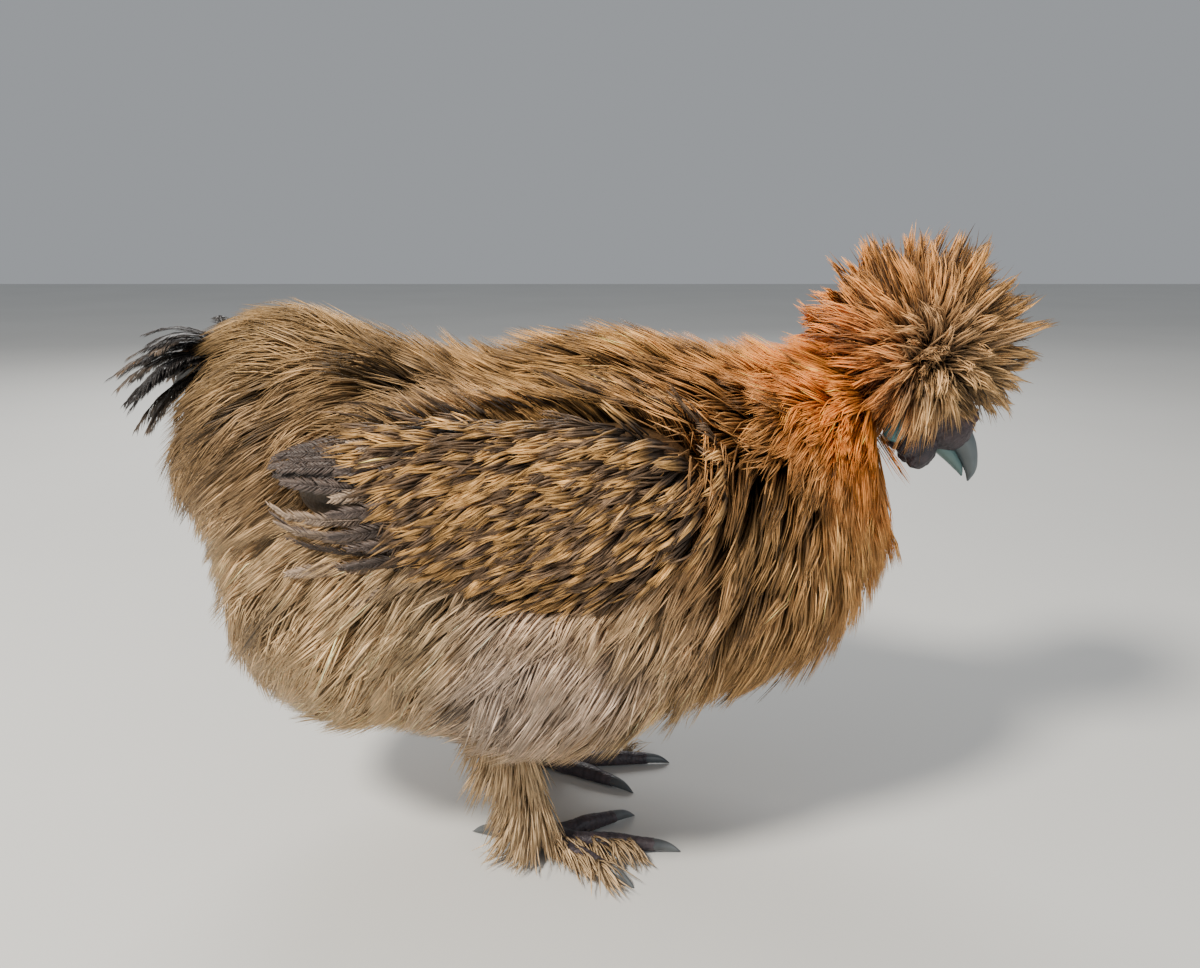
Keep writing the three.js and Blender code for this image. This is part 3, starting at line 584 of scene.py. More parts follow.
def make_camera():
    data = bpy.data.cameras.new("camera")
    data.lens = CAMERA_LENS
    data.sensor_width = CAMERA_SENSOR
    data.clip_start = 0.01
    camera = bpy.data.objects.new("camera", data)
    camera.location = (SHIFT_X * MM, -CAMERA_BACK * MM, CAMERA_HEIGHT * MM)
    camera.rotation_euler = (math.pi / 2 - CAMERA_DOWN, 0, 0)
    bpy.context.scene.collection.objects.link(camera)
    bpy.context.scene.camera = camera


make_camera()


# The skin: one surface under the coat, bare on the face and the feet

# How far each toe is turned outwards, its length and how far its tip is lifted
TOES = {
    "inner": (32, 33, 0),
    "middle": (-4, 43, 0),
    "outer": (-38, 34, 0),
    "hind": (158, 20, 0),
    "fifth": (140, 21, 15),
}
# Along a toe: share of its length, height, share of its lift, half width and half height
TOE_SHAPE = [
    (-0.04, 6.5, 0.5, 3.9, 4),
    (0.2, 3.4, 0.65, 3.7, 3.9),
    (0.4, 3.2, 0.8, 3.2, 3.3),
    (0.6, 3.3, 0.95, 3.5, 3.4),
    (0.8, 2.9, 1.1, 2.8, 2.9),
    (1, 2.5, 1.25, 2.5, 2.6),
]
# Down a shank: x, height, half width and half height
SHANK = [
    (-22, 92, 12, 13),
    (-30, 77, 8.5, 9),
    (-36, 66, 6.4, 7),
    (-33, 53, 4.7, 4.8),
    (-29, 35, 4.5, 4.6),
    (-25, 18, 4.7, 4.8),
    (ANKLE_X, 6.5, 5.2, 5.4),
]
# The skin's depth under the tips of the coat, where it isn't SKIN_DEPTH
DEPTHS = {"crest": CREST_DEPTH, "wing_right": WING_DEPTH, "wing_left": WING_DEPTH}
SKIN_LEAST = 3.0  # least half axis of a ball of the skin
LID_RADIUS = 5.0
LID_HEIGHT = 1.1
EYE_BED_DEPTH = 2.6
SLIT_DEPTH = 0.9
FOLD_HEIGHT = 0.22
WART_HEIGHT = 0.16
WART_WAVES = ((1.9, 1.3, 0.7), (1.1, 2.3, 1.7), (2.7, 0.8, 2.1))
SCUTE_HEIGHT = 0.22
SCUTE_WAVES = 1.25
FOOT_TOP = (50.0, 62.0)  # between these heights the bare foot passes into the coat's skin
LORES = (127.0, 0, 161.0)  # the salmon patch before the eye
LORES_REACH = 8.0
LORES_COLOUR = np.array((0.30, 0.09, 0.05))


def toe_line(turn, length, lift, side):
    """Places along one toe, each with its half width and half height."""
    turn = math.radians(turn)
    dx, dy = math.cos(turn), -math.sin(turn) * side
    line = []
    for share, z, rise, wide, high in TOE_SHAPE:
        x, y = ANKLE_X + dx * length * share, side * FOOT_SPREAD + dy * length * share
        line.append((x, y, z + lift * rise, wide, high))
    return line


def ball(at, size, pitch):
    mesh = bpy.data.meshes.new("ball")
    obj = bpy.data.objects.new("ball", mesh)
    shape = bmesh.new()
    bmesh.ops.create_icosphere(shape, subdivisions=4, radius=1.0)
    turn = Matrix.Rotation(math.radians(pitch), 3, "Y")
    for vertex in shape.verts:
        vertex.co = turn @ Vector([c * s for c, s in zip(vertex.co, size)])
        vertex.co = (vertex.co + Vector(at) + Vector((SHIFT_X, 0, 0))) * MM
    shape.to_mesh(mesh)
    shape.free()
    bpy.context.scene.collection.objects.link(obj)
    return obj


def joined(name, objects):
    bpy.ops.object.select_all(action="DESELECT")
    for obj in objects:
        obj.select_set(True)
    bpy.context.view_layer.objects.active = objects[0]
    bpy.ops.object.join()
    objects[0].name = name
    objects[0].data.name = name
    return objects[0]


def applied(obj, kind, **settings):
    modifier = obj.modifiers.new(kind.lower(), kind)
    for key, value in settings.items():
        setattr(modifier, key, value)
    bpy.context.view_layer.objects.active = obj
    bpy.ops.object.modifier_apply(modifier=modifier.name)


def softened(obj, voxel):
    """Runs the closed forms of an object together into one soft surface."""
    applied(obj, "REMESH", mode="VOXEL", voxel_size=voxel, use_smooth_shade=True)
    applied(obj, "SMOOTH", factor=0.5, iterations=4)
    return obj


def coordinates(obj):
    """The vertices of an object in millimetres in the bird's frame."""
    places = np.empty(len(obj.data.vertices) * 3, np.float32)
    obj.data.vertices.foreach_get("co", places)
    return places.reshape(-1, 3).astype(float) / MM - np.array((SHIFT_X, 0, 0))


def normals_of(obj):
    normals = np.empty(len(obj.data.vertices) * 3, np.float32)
    obj.data.vertex_normals.foreach_get("vector", normals)
    return normals.reshape(-1, 3).astype(float)


def moved(obj, places):
    obj.data.vertices.foreach_set("co", to_model(places).astype(np.float32).ravel())
    obj.data.update()


def finer_where(obj, wanted):
    """Cuts the faces whose corners are all wanted into four."""
    shape = bmesh.new()
    shape.from_mesh(obj.data)
    edges = [edge for edge in shape.edges if all(wanted[vertex.index] for vertex in edge.verts)]
    bmesh.ops.subdivide_edges(shape, edges=edges, cuts=1, use_grid_fill=True)
    shape.to_mesh(obj.data)
    shape.free()


def face_relief(places):
    """How far the bare face stands out or in: lid, folds, slit and bed of the eye, and warts."""
    dx, dz = places[:, 0] - EYE[0], places[:, 2] - EYE[2]
    from_eye = np.hypot(dx, dz)
    on_side = smooth_step(np.abs(places[:, 1]), 5.0, 9.0)
    lid = LID_HEIGHT * bell(from_eye, LID_RADIUS, 0.95)
    bed = -EYE_BED_DEPTH * (1 - smooth_step(from_eye, 2.6, 4.3))
    folds = FOLD_HEIGHT * np.sin(from_eye * 2.6 + 0.9 * np.sin(np.arctan2(dz, dx) * 5))
    folds = folds * smooth_step(from_eye, 5.5, 7.0) * (1 - smooth_step(from_eye, 13, 17))
    slit = -SLIT_DEPTH * bell(dz + 0.12 * dx, -0.2, 0.5) * smooth_step(from_eye, 4.4, 5.2)
    slit = slit * (1 - smooth_step(from_eye, 6.5, 8.0))
    warts = np.zeros(len(places))
    for k, waves in enumerate(WART_WAVES):
        x, y, z = (places * waves).T
        warts += np.sin(x + k) * np.sin(y + 2 * k) * np.sin(z - k)
    return on_side * (lid + bed + folds + slit) + WART_HEIGHT * warts


def skin_surface():
    parts = []
    for name in BODY + ["crest"]:
        depth = DEPTHS.get(name, SKIN_DEPTH)
        for at, size, pitch in FORMS[name]:
            parts.append(ball(at, [max(half - depth, SKIN_LEAST) for half in size], pitch))
    parts += [ball(*form) for form in FORMS["head"]]
    for side in SIDES.values():
        shank = [(x, side * FOOT_SPREAD, z, wide, high) for x, z, wide, high in SHANK]
        parts.append(lofted("tube", ringed(shank, 24, 16, (1, 0, 0))))
        for toe in TOES.values():
            parts.append(lofted("tube", ringed(toe_line(*toe, side), 22, 14, (0, 0, 1))))
    return softened(joined("skin", parts), SKIN_VOXEL)


def make_skin():
    skin = skin_surface()
    places = coordinates(skin)
    finer_where(skin, (field(places, ["head"])[0] < 3.0) & (places[:, 0] > 100))
    places, normals = coordinates(skin), normals_of(skin)
    bare = 1 - smooth_step(field(places, ["head"])[0], 0.5, 4.0)
    foot = 1 - smooth_step(places[:, 2], *FOOT_TOP)
    from_ankle = np.hypot(places[:, 0] - ANKLE_X, np.abs(places[:, 1]) - FOOT_SPREAD)
    along = np.where(places[:, 2] > 9.0, places[:, 2], from_ankle)
    scutes = np.abs(np.sin(along * SCUTE_WAVES))
    out = face_relief(places) * bare + SCUTE_HEIGHT * scutes**0.5 * foot
    shaped = places + normals * out[:, None]
    shaped[:, 2] = np.maximum(shaped[:, 2], 0.0)
    moved(skin, shaped)
    colour, _, _ = plumage(places)
    # Painted shade: the skin within the wings' forms, in and under each wing, is darkened
    shade_under_wing = smooth_step(-field(places, ["wing_right", "wing_left"])[0], 3.0, 6.0)
    colour = colour * (1 - 0.6 * shade_under_wing)[:, None]
    grooves = (0.55 + 0.55 * scutes)[:, None]
    bare_colour = FACE_COLOUR * np.where(foot[:, None] > 0.5, grooves * 1.3, 1.0)
    lores = 0.4 * bell(np.linalg.norm(places - LORES, axis=-1), 0, LORES_REACH)[:, None]
    bare_colour = bare_colour * (1 - lores) + LORES_COLOUR * lores
    coated = (1 - np.maximum(bare, foot))[:, None]
    paint(skin, colour * 0.30 * coated + bare_colour * (1 - coated))
    made, add, link = painted_material("face_and_skin", 0.5, 0.4, *SKIN_GRAIN)
    cell_relief(add, link, 900.0, 0.0005)
    nodes = ["torso", "neck", "saddle", "fluff", "head"]
    nodes += [f"{part}_{side}" for part in ("thigh", "leg") for side in SIDES]
    finished(skin, made, "skin", *nodes)


make_skin()

# The coat of the body

# A strand's stops, as shares of its length, and its width at them
SHARES = np.array([0.0, 0.36, 0.70, 1.0])
THIN = np.array([0.8, 1.0, 0.7, 0.0])
RIDGE = 0.7  # the height of a strand's ridge, as a share of its half width
# The coat's pieces: middle and half axes of their roots, strands, clumps, length and half width
COAT = {
    "torso": ((12, 0, 116), (104, 72, 70), 23000, 2500, 37, 0.50),
    "neck": ((72, 0, 142), (48, 42, 44), 13500, 800, 34, 0.42),
    "saddle": ((-102, 0, 155), (58, 52, 43), 11000, 700, 42, 0.44),
    "fluff": ((-84, 0, 99), (62, 66, 54), 11000, 500, 46, 0.50),
    "thigh_right": ((-14, -48, 88), (54, 31, 38), 5500, 240, 40, 0.50),
    "thigh_left": ((-14, 48, 88), (54, 31, 38), 5500, 240, 40, 0.50),
}
COAT_SLOTS = {"torso": "body_feather", "neck": "hackle_feather", "saddle": "saddle_feather"}
CLUMPING = {"torso": 0.84, "neck": 0.84}  # how far a strand is drawn to its clump, 0.66 elsewhere
# The short coat at the top of the neck, in the same terms
NAPE = ((88, 0, 153), (26, 22, 26), 10500, 480, 27, 0.40)
NAPE_X, NAPE_LOWEST = (68, 98), 128  # where its roots are kept
NAPE_LEVEL = -9.0


def tones(count, spread):
    """A random brightness for each of a count, round 1."""
    return np.exp(rng.normal(0, spread, count))


def some(count, share, factor):
    """The factor for a random share of a count, and 1 for the rest."""
    return np.where(rng.random(count) < share, factor, 1.0)


def widths(half, count, thin, least=0.6, most=1.25):
    """Half widths (strand, place), each strand's its own share of the half."""
    return half * rng.uniform(least, most, (count, 1)) * thin[None]


def roots_on(own, centre, spread, count, level):
    """Even roots on one form at a level."""
    ways = unit(directions(count) * np.array(spread, float) + rng.normal(0, 0.6, (count, 3)))
    centre = np.array(centre, float)
    return centre + ways * reach([own], centre, ways, level)[:, None]


def body_roots(own, centre, spread, count):
    """Roots on a form of the body, without those that another form or a wing covers."""
    roots = roots_on(own, centre, spread, count, ROOT_LEVEL)
    others = [name for name in FLESH if name != own]
    free = field(roots, others)[0] > ROOT_LEVEL
    for side in SIDES:
        free &= field(roots, [f"wing_{side}"])[0] > WING_CLEAR
    return roots[free]


def coat_lines(roots, guides, lie, names, length, low, high, ease, sway, clumping, loose=0.16):
    """Lines for strands, drawn towards the line of the clump that each belongs to.

    They rise from the low level to the high one, the sooner the greater the ease. sway bends whole
    clumps, in millimetres, and loose turns them, in radians.
    """
    count, clumps = len(roots), len(guides)
    guide_length = length * rng.uniform(0.85, 1.12, clumps)
    guide_turn = rng.normal(0, loose, clumps)
    guide_high = high + lifted(guides) + rng.normal(0, 8.0 * loose, clumps)
    guide_lines, _ = walk(names, lie, guides, guide_length, guide_turn, low, guide_high, SHARES, ease)
    guide_lines += rng.normal(0, 1, (clumps, 1, 3)) * (SHARES**1.6)[None, :, None] * sway
    owner = nearest(roots, guides)
    own_length = guide_length[owner] * rng.uniform(0.78, 1.08, count)
    own_turn = guide_turn[owner] + rng.normal(0, 0.09, count)
    own_high = guide_high[owner] + rng.normal(0, 0.9, count)
    lines, normals = walk(names, lie, roots, own_length, own_turn, low, own_high, SHARES, ease)
    pull = clumping * (SHARES**1.3)[None, :, None] * rng.uniform(0.6, 1.1, (count, 1, 1))
    lines = lines + (guide_lines[owner] - lines) * pull
    lines = lines + rng.normal(0, 1, (count, 1, 3)) * (SHARES**1.5)[None, :, None] * sway * 0.2
    return lines, normals, owner


def coat_colours(lines, owner, clumps, spread):
    """Colours from the plumage, dark at the root, with some streaks and some pale single hairs."""
    count = len(lines)
    base, streak, root = plumage(lines[:, 2])
    tone = tones(clumps, spread)[owner] * tones(count, spread)
    tone = tone * np.where(rng.random(clumps)[owner] < streak * 0.75, 0.36, 1.0)
    tone = tone * some(count, streak * 0.5, 0.5) * some(count, 0.10, 1.6)
    along = root[:, None] + (1.12 - root[:, None]) * smooth_step(SHARES, 0.25, 0.95)[None]
    return base[:, None] * tone[:, None, None] * along[..., None]


def strand_pieces(name, slot, lines, normals, half, ridge, colours, patches, nodes):
    """Makes the strands in as many pieces as the limit asks, and gives them their finish."""
    each = lines.shape[1] * 6 - 8
    parts = max(1, math.ceil(len(lines) * each / PIECE_LIMIT))
    for part in range(parts):
        of_part = [rows[part::parts] for rows in (lines, normals, half, colours, patches)]
        label = f"{name}_{part + 1}" if parts > 1 else name
        piece = strand_mesh(label, *of_part[:3], ridge, *of_part[3:])
        finished(piece, MATERIALS["coat"], slot, *(nodes if part == 0 else ()))


def silky_pieces(name, slot, node, form, roots, guides, level, rules, spread_of_tones):
    """A silky coat over its roots, on the body's forms and in the plumage's colours.

    rules are the height of the tips, the ease, sway, clumping and, if given, looseness of its lines.
    """
    centre, spread, _, _, length, half = form
    lines, normals, owner = coat_lines(roots, guides, body_lie, BODY, length, level, *rules)
    colours = coat_colours(lines, owner, len(guides), spread_of_tones)
    half = widths(half, len(roots), THIN)
    patches = unwrapped(roots, centre, spread)
    strand_pieces(name, slot, lines, normals, half, RIDGE, colours, patches, [node])


def make_coat():
    for own, form in COAT.items():
        centre, spread, strands, clumps, _, _ = form
        roots = body_roots(own, centre, spread, strands)
        guides = body_roots(own, centre, spread, clumps)
        rules = (1.0, 1.25, 2.0, CLUMPING.get(own, 0.66))
        slot = COAT_SLOTS.get(own, "fluff_feather")
        silky_pieces(f"coat_{own}", slot, own, form, roots, guides, ROOT_LEVEL, rules, 0.2)


def make_nape():
    """The short coat that fills the gap under the crest."""
    centre, spread, strands, clumps, _, _ = NAPE

    def free_roots(count):
        roots = roots_on("neck", centre, spread, count, NAPE_LEVEL)
        x, _, z = roots.T
        return roots[(x > NAPE_X[0]) & (x < NAPE_X[1]) & (z > NAPE_LOWEST)]

    roots, guides = free_roots(strands), free_roots(clumps)
    rules = (2.5, 1.2, 1.8, 0.7, 0.2)
    level = NAPE_LEVEL - 1
    silky_pieces("coat_nape", "hackle_feather", "neck", NAPE, roots, guides, level, rules, 0.18)


make_coat()
make_nape()

# The crest

CREST_MIDDLE = np.array((115.0, 0.0, 186.0))
CREST_REACH = np.array((41.0, 38.0, 33.5))
SKULL_MIDDLE = np.array((112.0, 0.0, 178.0))
SKULL_REACH = np.array((15.0, 13.0, 12.0))
CREST_HALF = 0.40
CREST_TOP = 223.0  # above this the tips of the crest are drawn in
CREST_SPIKE = 13.0  # how far its longest spikes stand out on top
CREST_HANG = 0.35  # how much further the tufts below reach
CREST_HEM = 143.0  # how low it hangs over the ear
CREST_GREY = np.array((0.050, 0.040, 0.038))  # at the roots
EYE_SHADE_SPOT = (129.0, 163.0)  # the painted shade over the eye, under the crest's brow: x and z
EYE_SHADE_REACH = 8.5
CREST_SHARES = np.array([0.0, 0.3, 0.58, 0.82, 1.0])
CREST_THIN = np.array([0.8, 1.0, 0.85, 0.55, 0.0])
# Two depths of tufts: how far out they reach, how many, strands in each, brightness and looseness; the
# under tufts' lower brightness is painted shade under the over tufts
CREST_LAYERS = {
    "under": dict(far=0.86, tufts=420, each=11, tone=0.45, loose=2.4),
    "over": dict(far=1.0, tufts=400, each=18, tone=1.25, loose=0.8),
}


def crest_hem(points):
    """The lowest height that the crest's tips reach: it is shorter in front of the ear."""
    front = 16 * smooth_step(points[:, 0], 110, 122) + 3 * smooth_step(points[:, 0], 132, 150)
    return CREST_HEM + front + rng.normal(0, 2.6, len(points))


def crest_tufts(far, count):
    """Where each tuft starts on the skull, bends and ends, spread in a whorl on each side."""
    ways = unit(directions(count) + rng.normal(0, 0.09, (count, 3)))
    ways = ways[ways[:, 2] > -0.93]
    count = len(ways)
    side = np.where(ways[:, 1] + rng.normal(0, 0.14, count) > 0, 1.0, -1.0)
    aside = side * (0.15 + 0.83 * smooth_step(np.abs(ways[:, 1]), 0.0, 0.55))
    whorl = np.stack([np.full(count, -0.02), aside, np.full(count, 0.06)], -1)
    far = far * (1 + rng.normal(0, 0.07, (count, 1)))
    hanging = 1 + CREST_HANG * smooth_step(-ways[:, 2:3], 0.15, 0.6) * np.array((0, 0, 1))
    tips = CREST_MIDDLE + ways * CREST_REACH * hanging * far
    upright = smooth_step(ways[:, 2], 0.5, 0.95) * smooth_step(-ways[:, 0], -0.75, -0.2)
    tips = tips + ways * (upright * rng.uniform(0, 1, count) ** 1.6 * CREST_SPIKE)[:, None]
    tips[:, 2] = np.maximum(tips[:, 2], crest_hem(tips))
    tips[:, 2] = np.minimum(tips[:, 2], CREST_TOP + (tips[:, 2] - CREST_TOP) * 0.35)
    start = SKULL_MIDDLE + unit(ways * 0.5 + whorl * 0.6) * SKULL_REACH
    bend = CREST_MIDDLE + unit(ways * 0.52 + whorl * 0.66) * CREST_REACH * far * 0.86
    return start, bend + rng.normal(0, 2.6, (count, 3)), tips


def crest_colours(lines, tips, owner, tufts, bright):
    """Grey at the roots and bright at the tips, with odd pale and dark hairs, and painted shade over the
    eye.
    """
    total = len(owner)
    colour, _ = near_mix(lines[:, 3], *zip(*CREST_COLOURS), 800.0)
    tone = tones(tufts, 0.26)[owner] * tones(total, 0.22)
    tone = tone * some(total, 0.14, 1.5) * some(total, 0.2, 0.4)
    # Painted shade: on each side, the crest's tips over the eye are darkened where the crest's brow shades
    # the face
    near, _ = folded(tips)
    apart = np.hypot(near[:, 0] - EYE_SHADE_SPOT[0], near[:, 2] - EYE_SHADE_SPOT[1])
    painted_shade = bell(apart, 0, EYE_SHADE_REACH) * smooth_step(-near[:, 1], 8, 16)
    tone = np.minimum(tone * (1 - 0.85 * painted_shade), 1.5)
    mix = smooth_step(CREST_SHARES, 0.3, 0.95)[None, :, None]
    return (CREST_GREY + (colour[:, None] * bright - CREST_GREY) * mix) * tone[:, None, None]


def make_crest():
    for label, layer in CREST_LAYERS.items():
        start, bend, tips = crest_tufts(layer["far"], layer["tufts"])
        tufts = len(start)
        owner = np.repeat(np.arange(tufts), layer["each"])
        total = len(owner)
        start = start[owner] + rng.normal(0, 2.2, (total, 3))
        bend = bend[owner] + rng.normal(0, 2.0, (total, 3))
        tips = tips[owner] + rng.normal(0, layer["loose"], (total, 3))
        share = CREST_SHARES[None, :, None] * rng.uniform(0.82, 1.04, (total, 1, 1))
        lines = start[:, None] * (1 - share) ** 2 + bend[:, None] * 2 * share * (1 - share)
        lines = lines + tips[:, None] * share**2
        normals = unit(lines - CREST_MIDDLE)
        colours = crest_colours(lines, tips, owner, tufts, layer["tone"])
        half = widths(CREST_HALF, total, CREST_THIN)
        patches = unwrapped(start, SKULL_MIDDLE, SKULL_REACH)
        name = f"crest_{label}"
        strand_pieces(name, "crest_feather", lines, normals, half, RIDGE, colours, patches, ["crest"])


make_crest()

# Feathers with a shaft and barbs, for wings and tail
BARB_ANGLES = (58, 34)  # degrees off the shaft at the vane's root, and how many fewer at its tip
BARB_THIN = np.array([1.0, 0.9, 0.0])
BARB_TONES = np.array([0.7, 1.0, 1.6])[None, :, None]
SHAFT_HALF = 0.45


def feathers(name, slot, lines, normals, half_width, spacing, colours, patches, node, ragged, cup):
    """Feathers along lines (feather, place, 3), each a shaft with barbs that stand off on both sides."""
    count, stops, _ = lines.shape
    shares = np.linspace(0, 1, stops)
    length = np.linalg.norm(np.diff(lines, axis=1), axis=-1).sum(1)
    vanes = []
    for i in range(count):
        barbs = max(6, int(length[i] / spacing))
        at = np.concatenate([np.linspace(0.06, 0.99, barbs)] * 2) + rng.normal(0, 0.006, barbs * 2)
        at = np.clip(at, 0.03, 0.995)
        side = np.repeat([-1.0, 1.0], barbs)

        def along_line(values):
            return np.stack([np.interp(at, shares, values[:, k]) for k in range(3)], -1)

        start = along_line(lines[i])
        way = unit(along_line(np.gradient(lines[i], axis=0)))
        normal = unit(along_line(normals[i]))
        across = unit(np.cross(way, normal))
        width = half_width[i] * np.sin(np.pi * np.clip(at * 0.86 + 0.12, 0, 1)) ** 0.55
        tatter = 0.6 + 0.4 * np.sin(at * rng.uniform(14, 30) + rng.uniform(0, 6))
        width = width * (1 - ragged * rng.random(barbs * 2) ** 2 * tatter)
        angle = np.radians(BARB_ANGLES[0] - BARB_ANGLES[1] * at) + rng.normal(0, 0.06, barbs * 2)
        out = across * (side * np.sin(angle))[:, None] + way * np.cos(angle)[:, None]
        reach_out = (width / np.sin(angle))[:, None]
        middle = start + out * reach_out * 0.55 - normal * reach_out * cup * 0.25
        end = start + (out + way * 0.16) * reach_out - normal * reach_out * cup
        barb = [np.stack([start, middle, end], 1), np.repeat(normal[:, None], 3, 1)]
        barb.append((spacing * 0.62 * rng.uniform(0.8, 1.15, barbs * 2))[:, None] * BARB_THIN)
        barb.append(along_line(colours[i])[:, None] * tones(barbs * 2, 0.14)[:, None, None] * BARB_TONES)
        barb.append(patches[i] + rng.normal(0, 0.0007, (barbs * 2, 2)))
        vanes.append(barb)
    rows = [np.concatenate(row) for row in zip(*vanes)]
    barb_piece = strand_mesh(f"{name}_barbs", *rows[:3], 0.3, *rows[3:])
    finished(barb_piece, MATERIALS["vane"], slot, node)
    half = SHAFT_HALF * np.linspace(1, 0, stops)[None] * np.ones((count, 1))
    shaft = strand_mesh(f"{name}_shafts", lines, normals, half, 1.0, colours * 1.3, patches)
    finished(shaft, MATERIALS["vane"], slot)


VANE_SHARES = np.linspace(0, 1, 6)
WING_MIDDLE = 146.0  # the height of the wing's own middle line
WING_INSIDE = 50.0  # how far from the middle plane the search for its surface starts
# The wing's vanes: where each row is rooted, the heights of its roots, and the feathers' size
FLIGHTS = [
    dict(x=-46, heights=range(-20, 14, 3), length=62, half=3.6, dip=0.04),
    dict(x=-36, heights=range(-20, 13, 4), length=48, half=3.6, dip=0.10),
]
FLIGHT_DARK, FLIGHT_LIGHT = (0.060, 0.047, 0.042), (0.300, 0.230, 0.170)
# The coverts: short silky feathers over the front of the wing, dark with gold tips
COVERTS = dict(strands=5600, clumps=1050, length=15.5, half=0.52)
COVERT_DARK = np.array((0.13, 0.085, 0.050))
COVERT_GOLD = np.array((0.50, 0.30, 0.110))
COVERT_ROOT = np.array((0.050, 0.038, 0.030))
COVERT_X, COVERT_Z = (-74, 42), (108, 178)  # the stretch of the wing that may carry them
COVERT_PLANE = 56.0  # how far from the middle plane the wing has to be thick enough for a root
COVERT_WAY = np.array((-1.0, 0.0, -0.36))


def wing_roots(own, side, places):
    """Roots on the outside of a wing over places on its middle plane (x and z)."""
    inside = np.stack([places[:, 0], np.full(len(places), side * WING_INSIDE), places[:, 1]], -1)
    ways = np.tile(np.array((0.0, side, 0.0)), (len(places), 1))
    return inside + ways * reach([own], inside, ways, WING_ROOT_LEVEL)[:, None]


def flight_lines(side, own, over):
    """Lines, normals and half widths of a wing's flights."""
    rows = []
    for spec in FLIGHTS:
        count = len(spec["heights"])
        heights = np.array(spec["heights"], float) + rng.normal(0, 0.8, count)
        places = np.stack([spec["x"] + rng.normal(0, 1.5, count), WING_MIDDLE + heights], -1)
        roots = wing_roots(own, side, places)

        def lie(points):
            rise = 0.012 * heights - spec["dip"]
            return np.stack([-np.ones(len(points)), np.zeros(len(points)), rise], -1)

        length = spec["length"] * rng.uniform(0.86, 1.12, count)
        turn = rng.normal(0, 0.09, count)
        high = rng.normal(0.3, 0.7, count)
        lines, normals = walk(over, lie, roots, length, turn, WING_ROOT_LEVEL, high, VANE_SHARES, 1.2)
        rows.append((lines, normals, spec["half"] * rng.uniform(0.8, 1.1, count)))
    return [np.concatenate(row) for row in zip(*rows)]


def vane_colours(count, stops, dark, light, share_light):
    """Dark feathers, some of them lighter towards the tip."""
    pale = (rng.random(count) < share_light)[:, None, None]
    along = np.linspace(0, 1, stops)[None, :, None] ** 2.0
    tone = tones(count, 0.25)[:, None, None]
    dark, light = np.array(dark)[None, None], np.array(light)[None, None]
    return (dark * (1 - along) + np.where(pale, light, dark * 1.5) * along) * tone


def covert_roots(own, side, count):
    """Roots over the front of a wing, as far back as its flights."""
    places = np.stack([rng.uniform(*COVERT_X, count * 3), rng.uniform(*COVERT_Z, count * 3)], -1)
    rear = -45 - 27 * (places[:, 1] - 128) / 37 + rng.normal(0, 4, len(places))
    places = places[places[:, 0] > rear]
    inside = np.stack([places[:, 0], np.full(len(places), side * COVERT_PLANE), places[:, 1]], -1)
    return wing_roots(own, side, places[field(inside, [own])[0] < -7.0][:count])


def covert_lie(points):
    return np.tile(COVERT_WAY, (len(points), 1))


def make_wings():
    for label, side in SIDES.items():
        own = f"wing_{label}"
        over = ["torso", "fluff", "saddle", own]
        centre, spread = (-20, side * 58, 144), (76, 24, 30)
        lines, normals, half = flight_lines(side, own, over)
        colours = vane_colours(*lines.shape[:2], FLIGHT_DARK, FLIGHT_LIGHT, 0.35)
        patches = unwrapped(lines[:, 0], centre, spread)
        name = f"flights_{label}"
        feathers(name, "wing_feather", lines, normals, half, 0.7, colours, patches, own, 0.75, 0.15)

        roots = covert_roots(own, side, COVERTS["strands"])
        guides = covert_roots(own, side, COVERTS["clumps"])
        rules = (COVERTS["length"], WING_ROOT_LEVEL, 1.6, 1.2, 0.9, 0.9)
        lines, normals, owner = coat_lines(roots, guides, covert_lie, over, *rules)
        dark = rng.random(len(guides))[owner] < 0.55
        tips = np.where(dark[:, None], COVERT_DARK, COVERT_GOLD)
        tone = tones(len(guides), 0.22)[owner] * tones(len(roots), 0.15)
        mix = smooth_step(SHARES, 0.35, 0.8)[None, :, None]
        colours = (COVERT_ROOT + (tips[:, None] - COVERT_ROOT) * mix) * tone[:, None, None]
        half = widths(COVERTS["half"], len(roots), THIN, 0.7, 1.2)
        patches = unwrapped(roots, centre, spread)
        name = f"coverts_{label}"
        strand_pieces(name, "wing_feather", lines, normals, half, RIDGE, colours, patches, [])


make_wings()

# The tail

TAIL_ROOT = np.array((-134.0, 0.0, 178.0))
TAIL_TIERS = [
    dict(rise=54, length=34, bend=95, wide=42, count=8),
    dict(rise=38, length=40, bend=85, wide=58, count=10),
    dict(rise=24, length=43, bend=72, wide=52, count=10),
    dict(rise=10, length=44, bend=62, wide=60, count=11),
    dict(rise=-4, length=42, bend=52, wide=52, count=10),
    dict(rise=-16, length=38, bend=44, wide=46, count=8),
]
TAIL_HALF = 5.0
TAIL_DARK, TAIL_LIGHT = (0.016, 0.014, 0.014), (0.110, 0.085, 0.065)
TAN_FEATHER = 21  # the one tan feather among the dark ones
TAN = np.array((0.400, 0.230, 0.120))


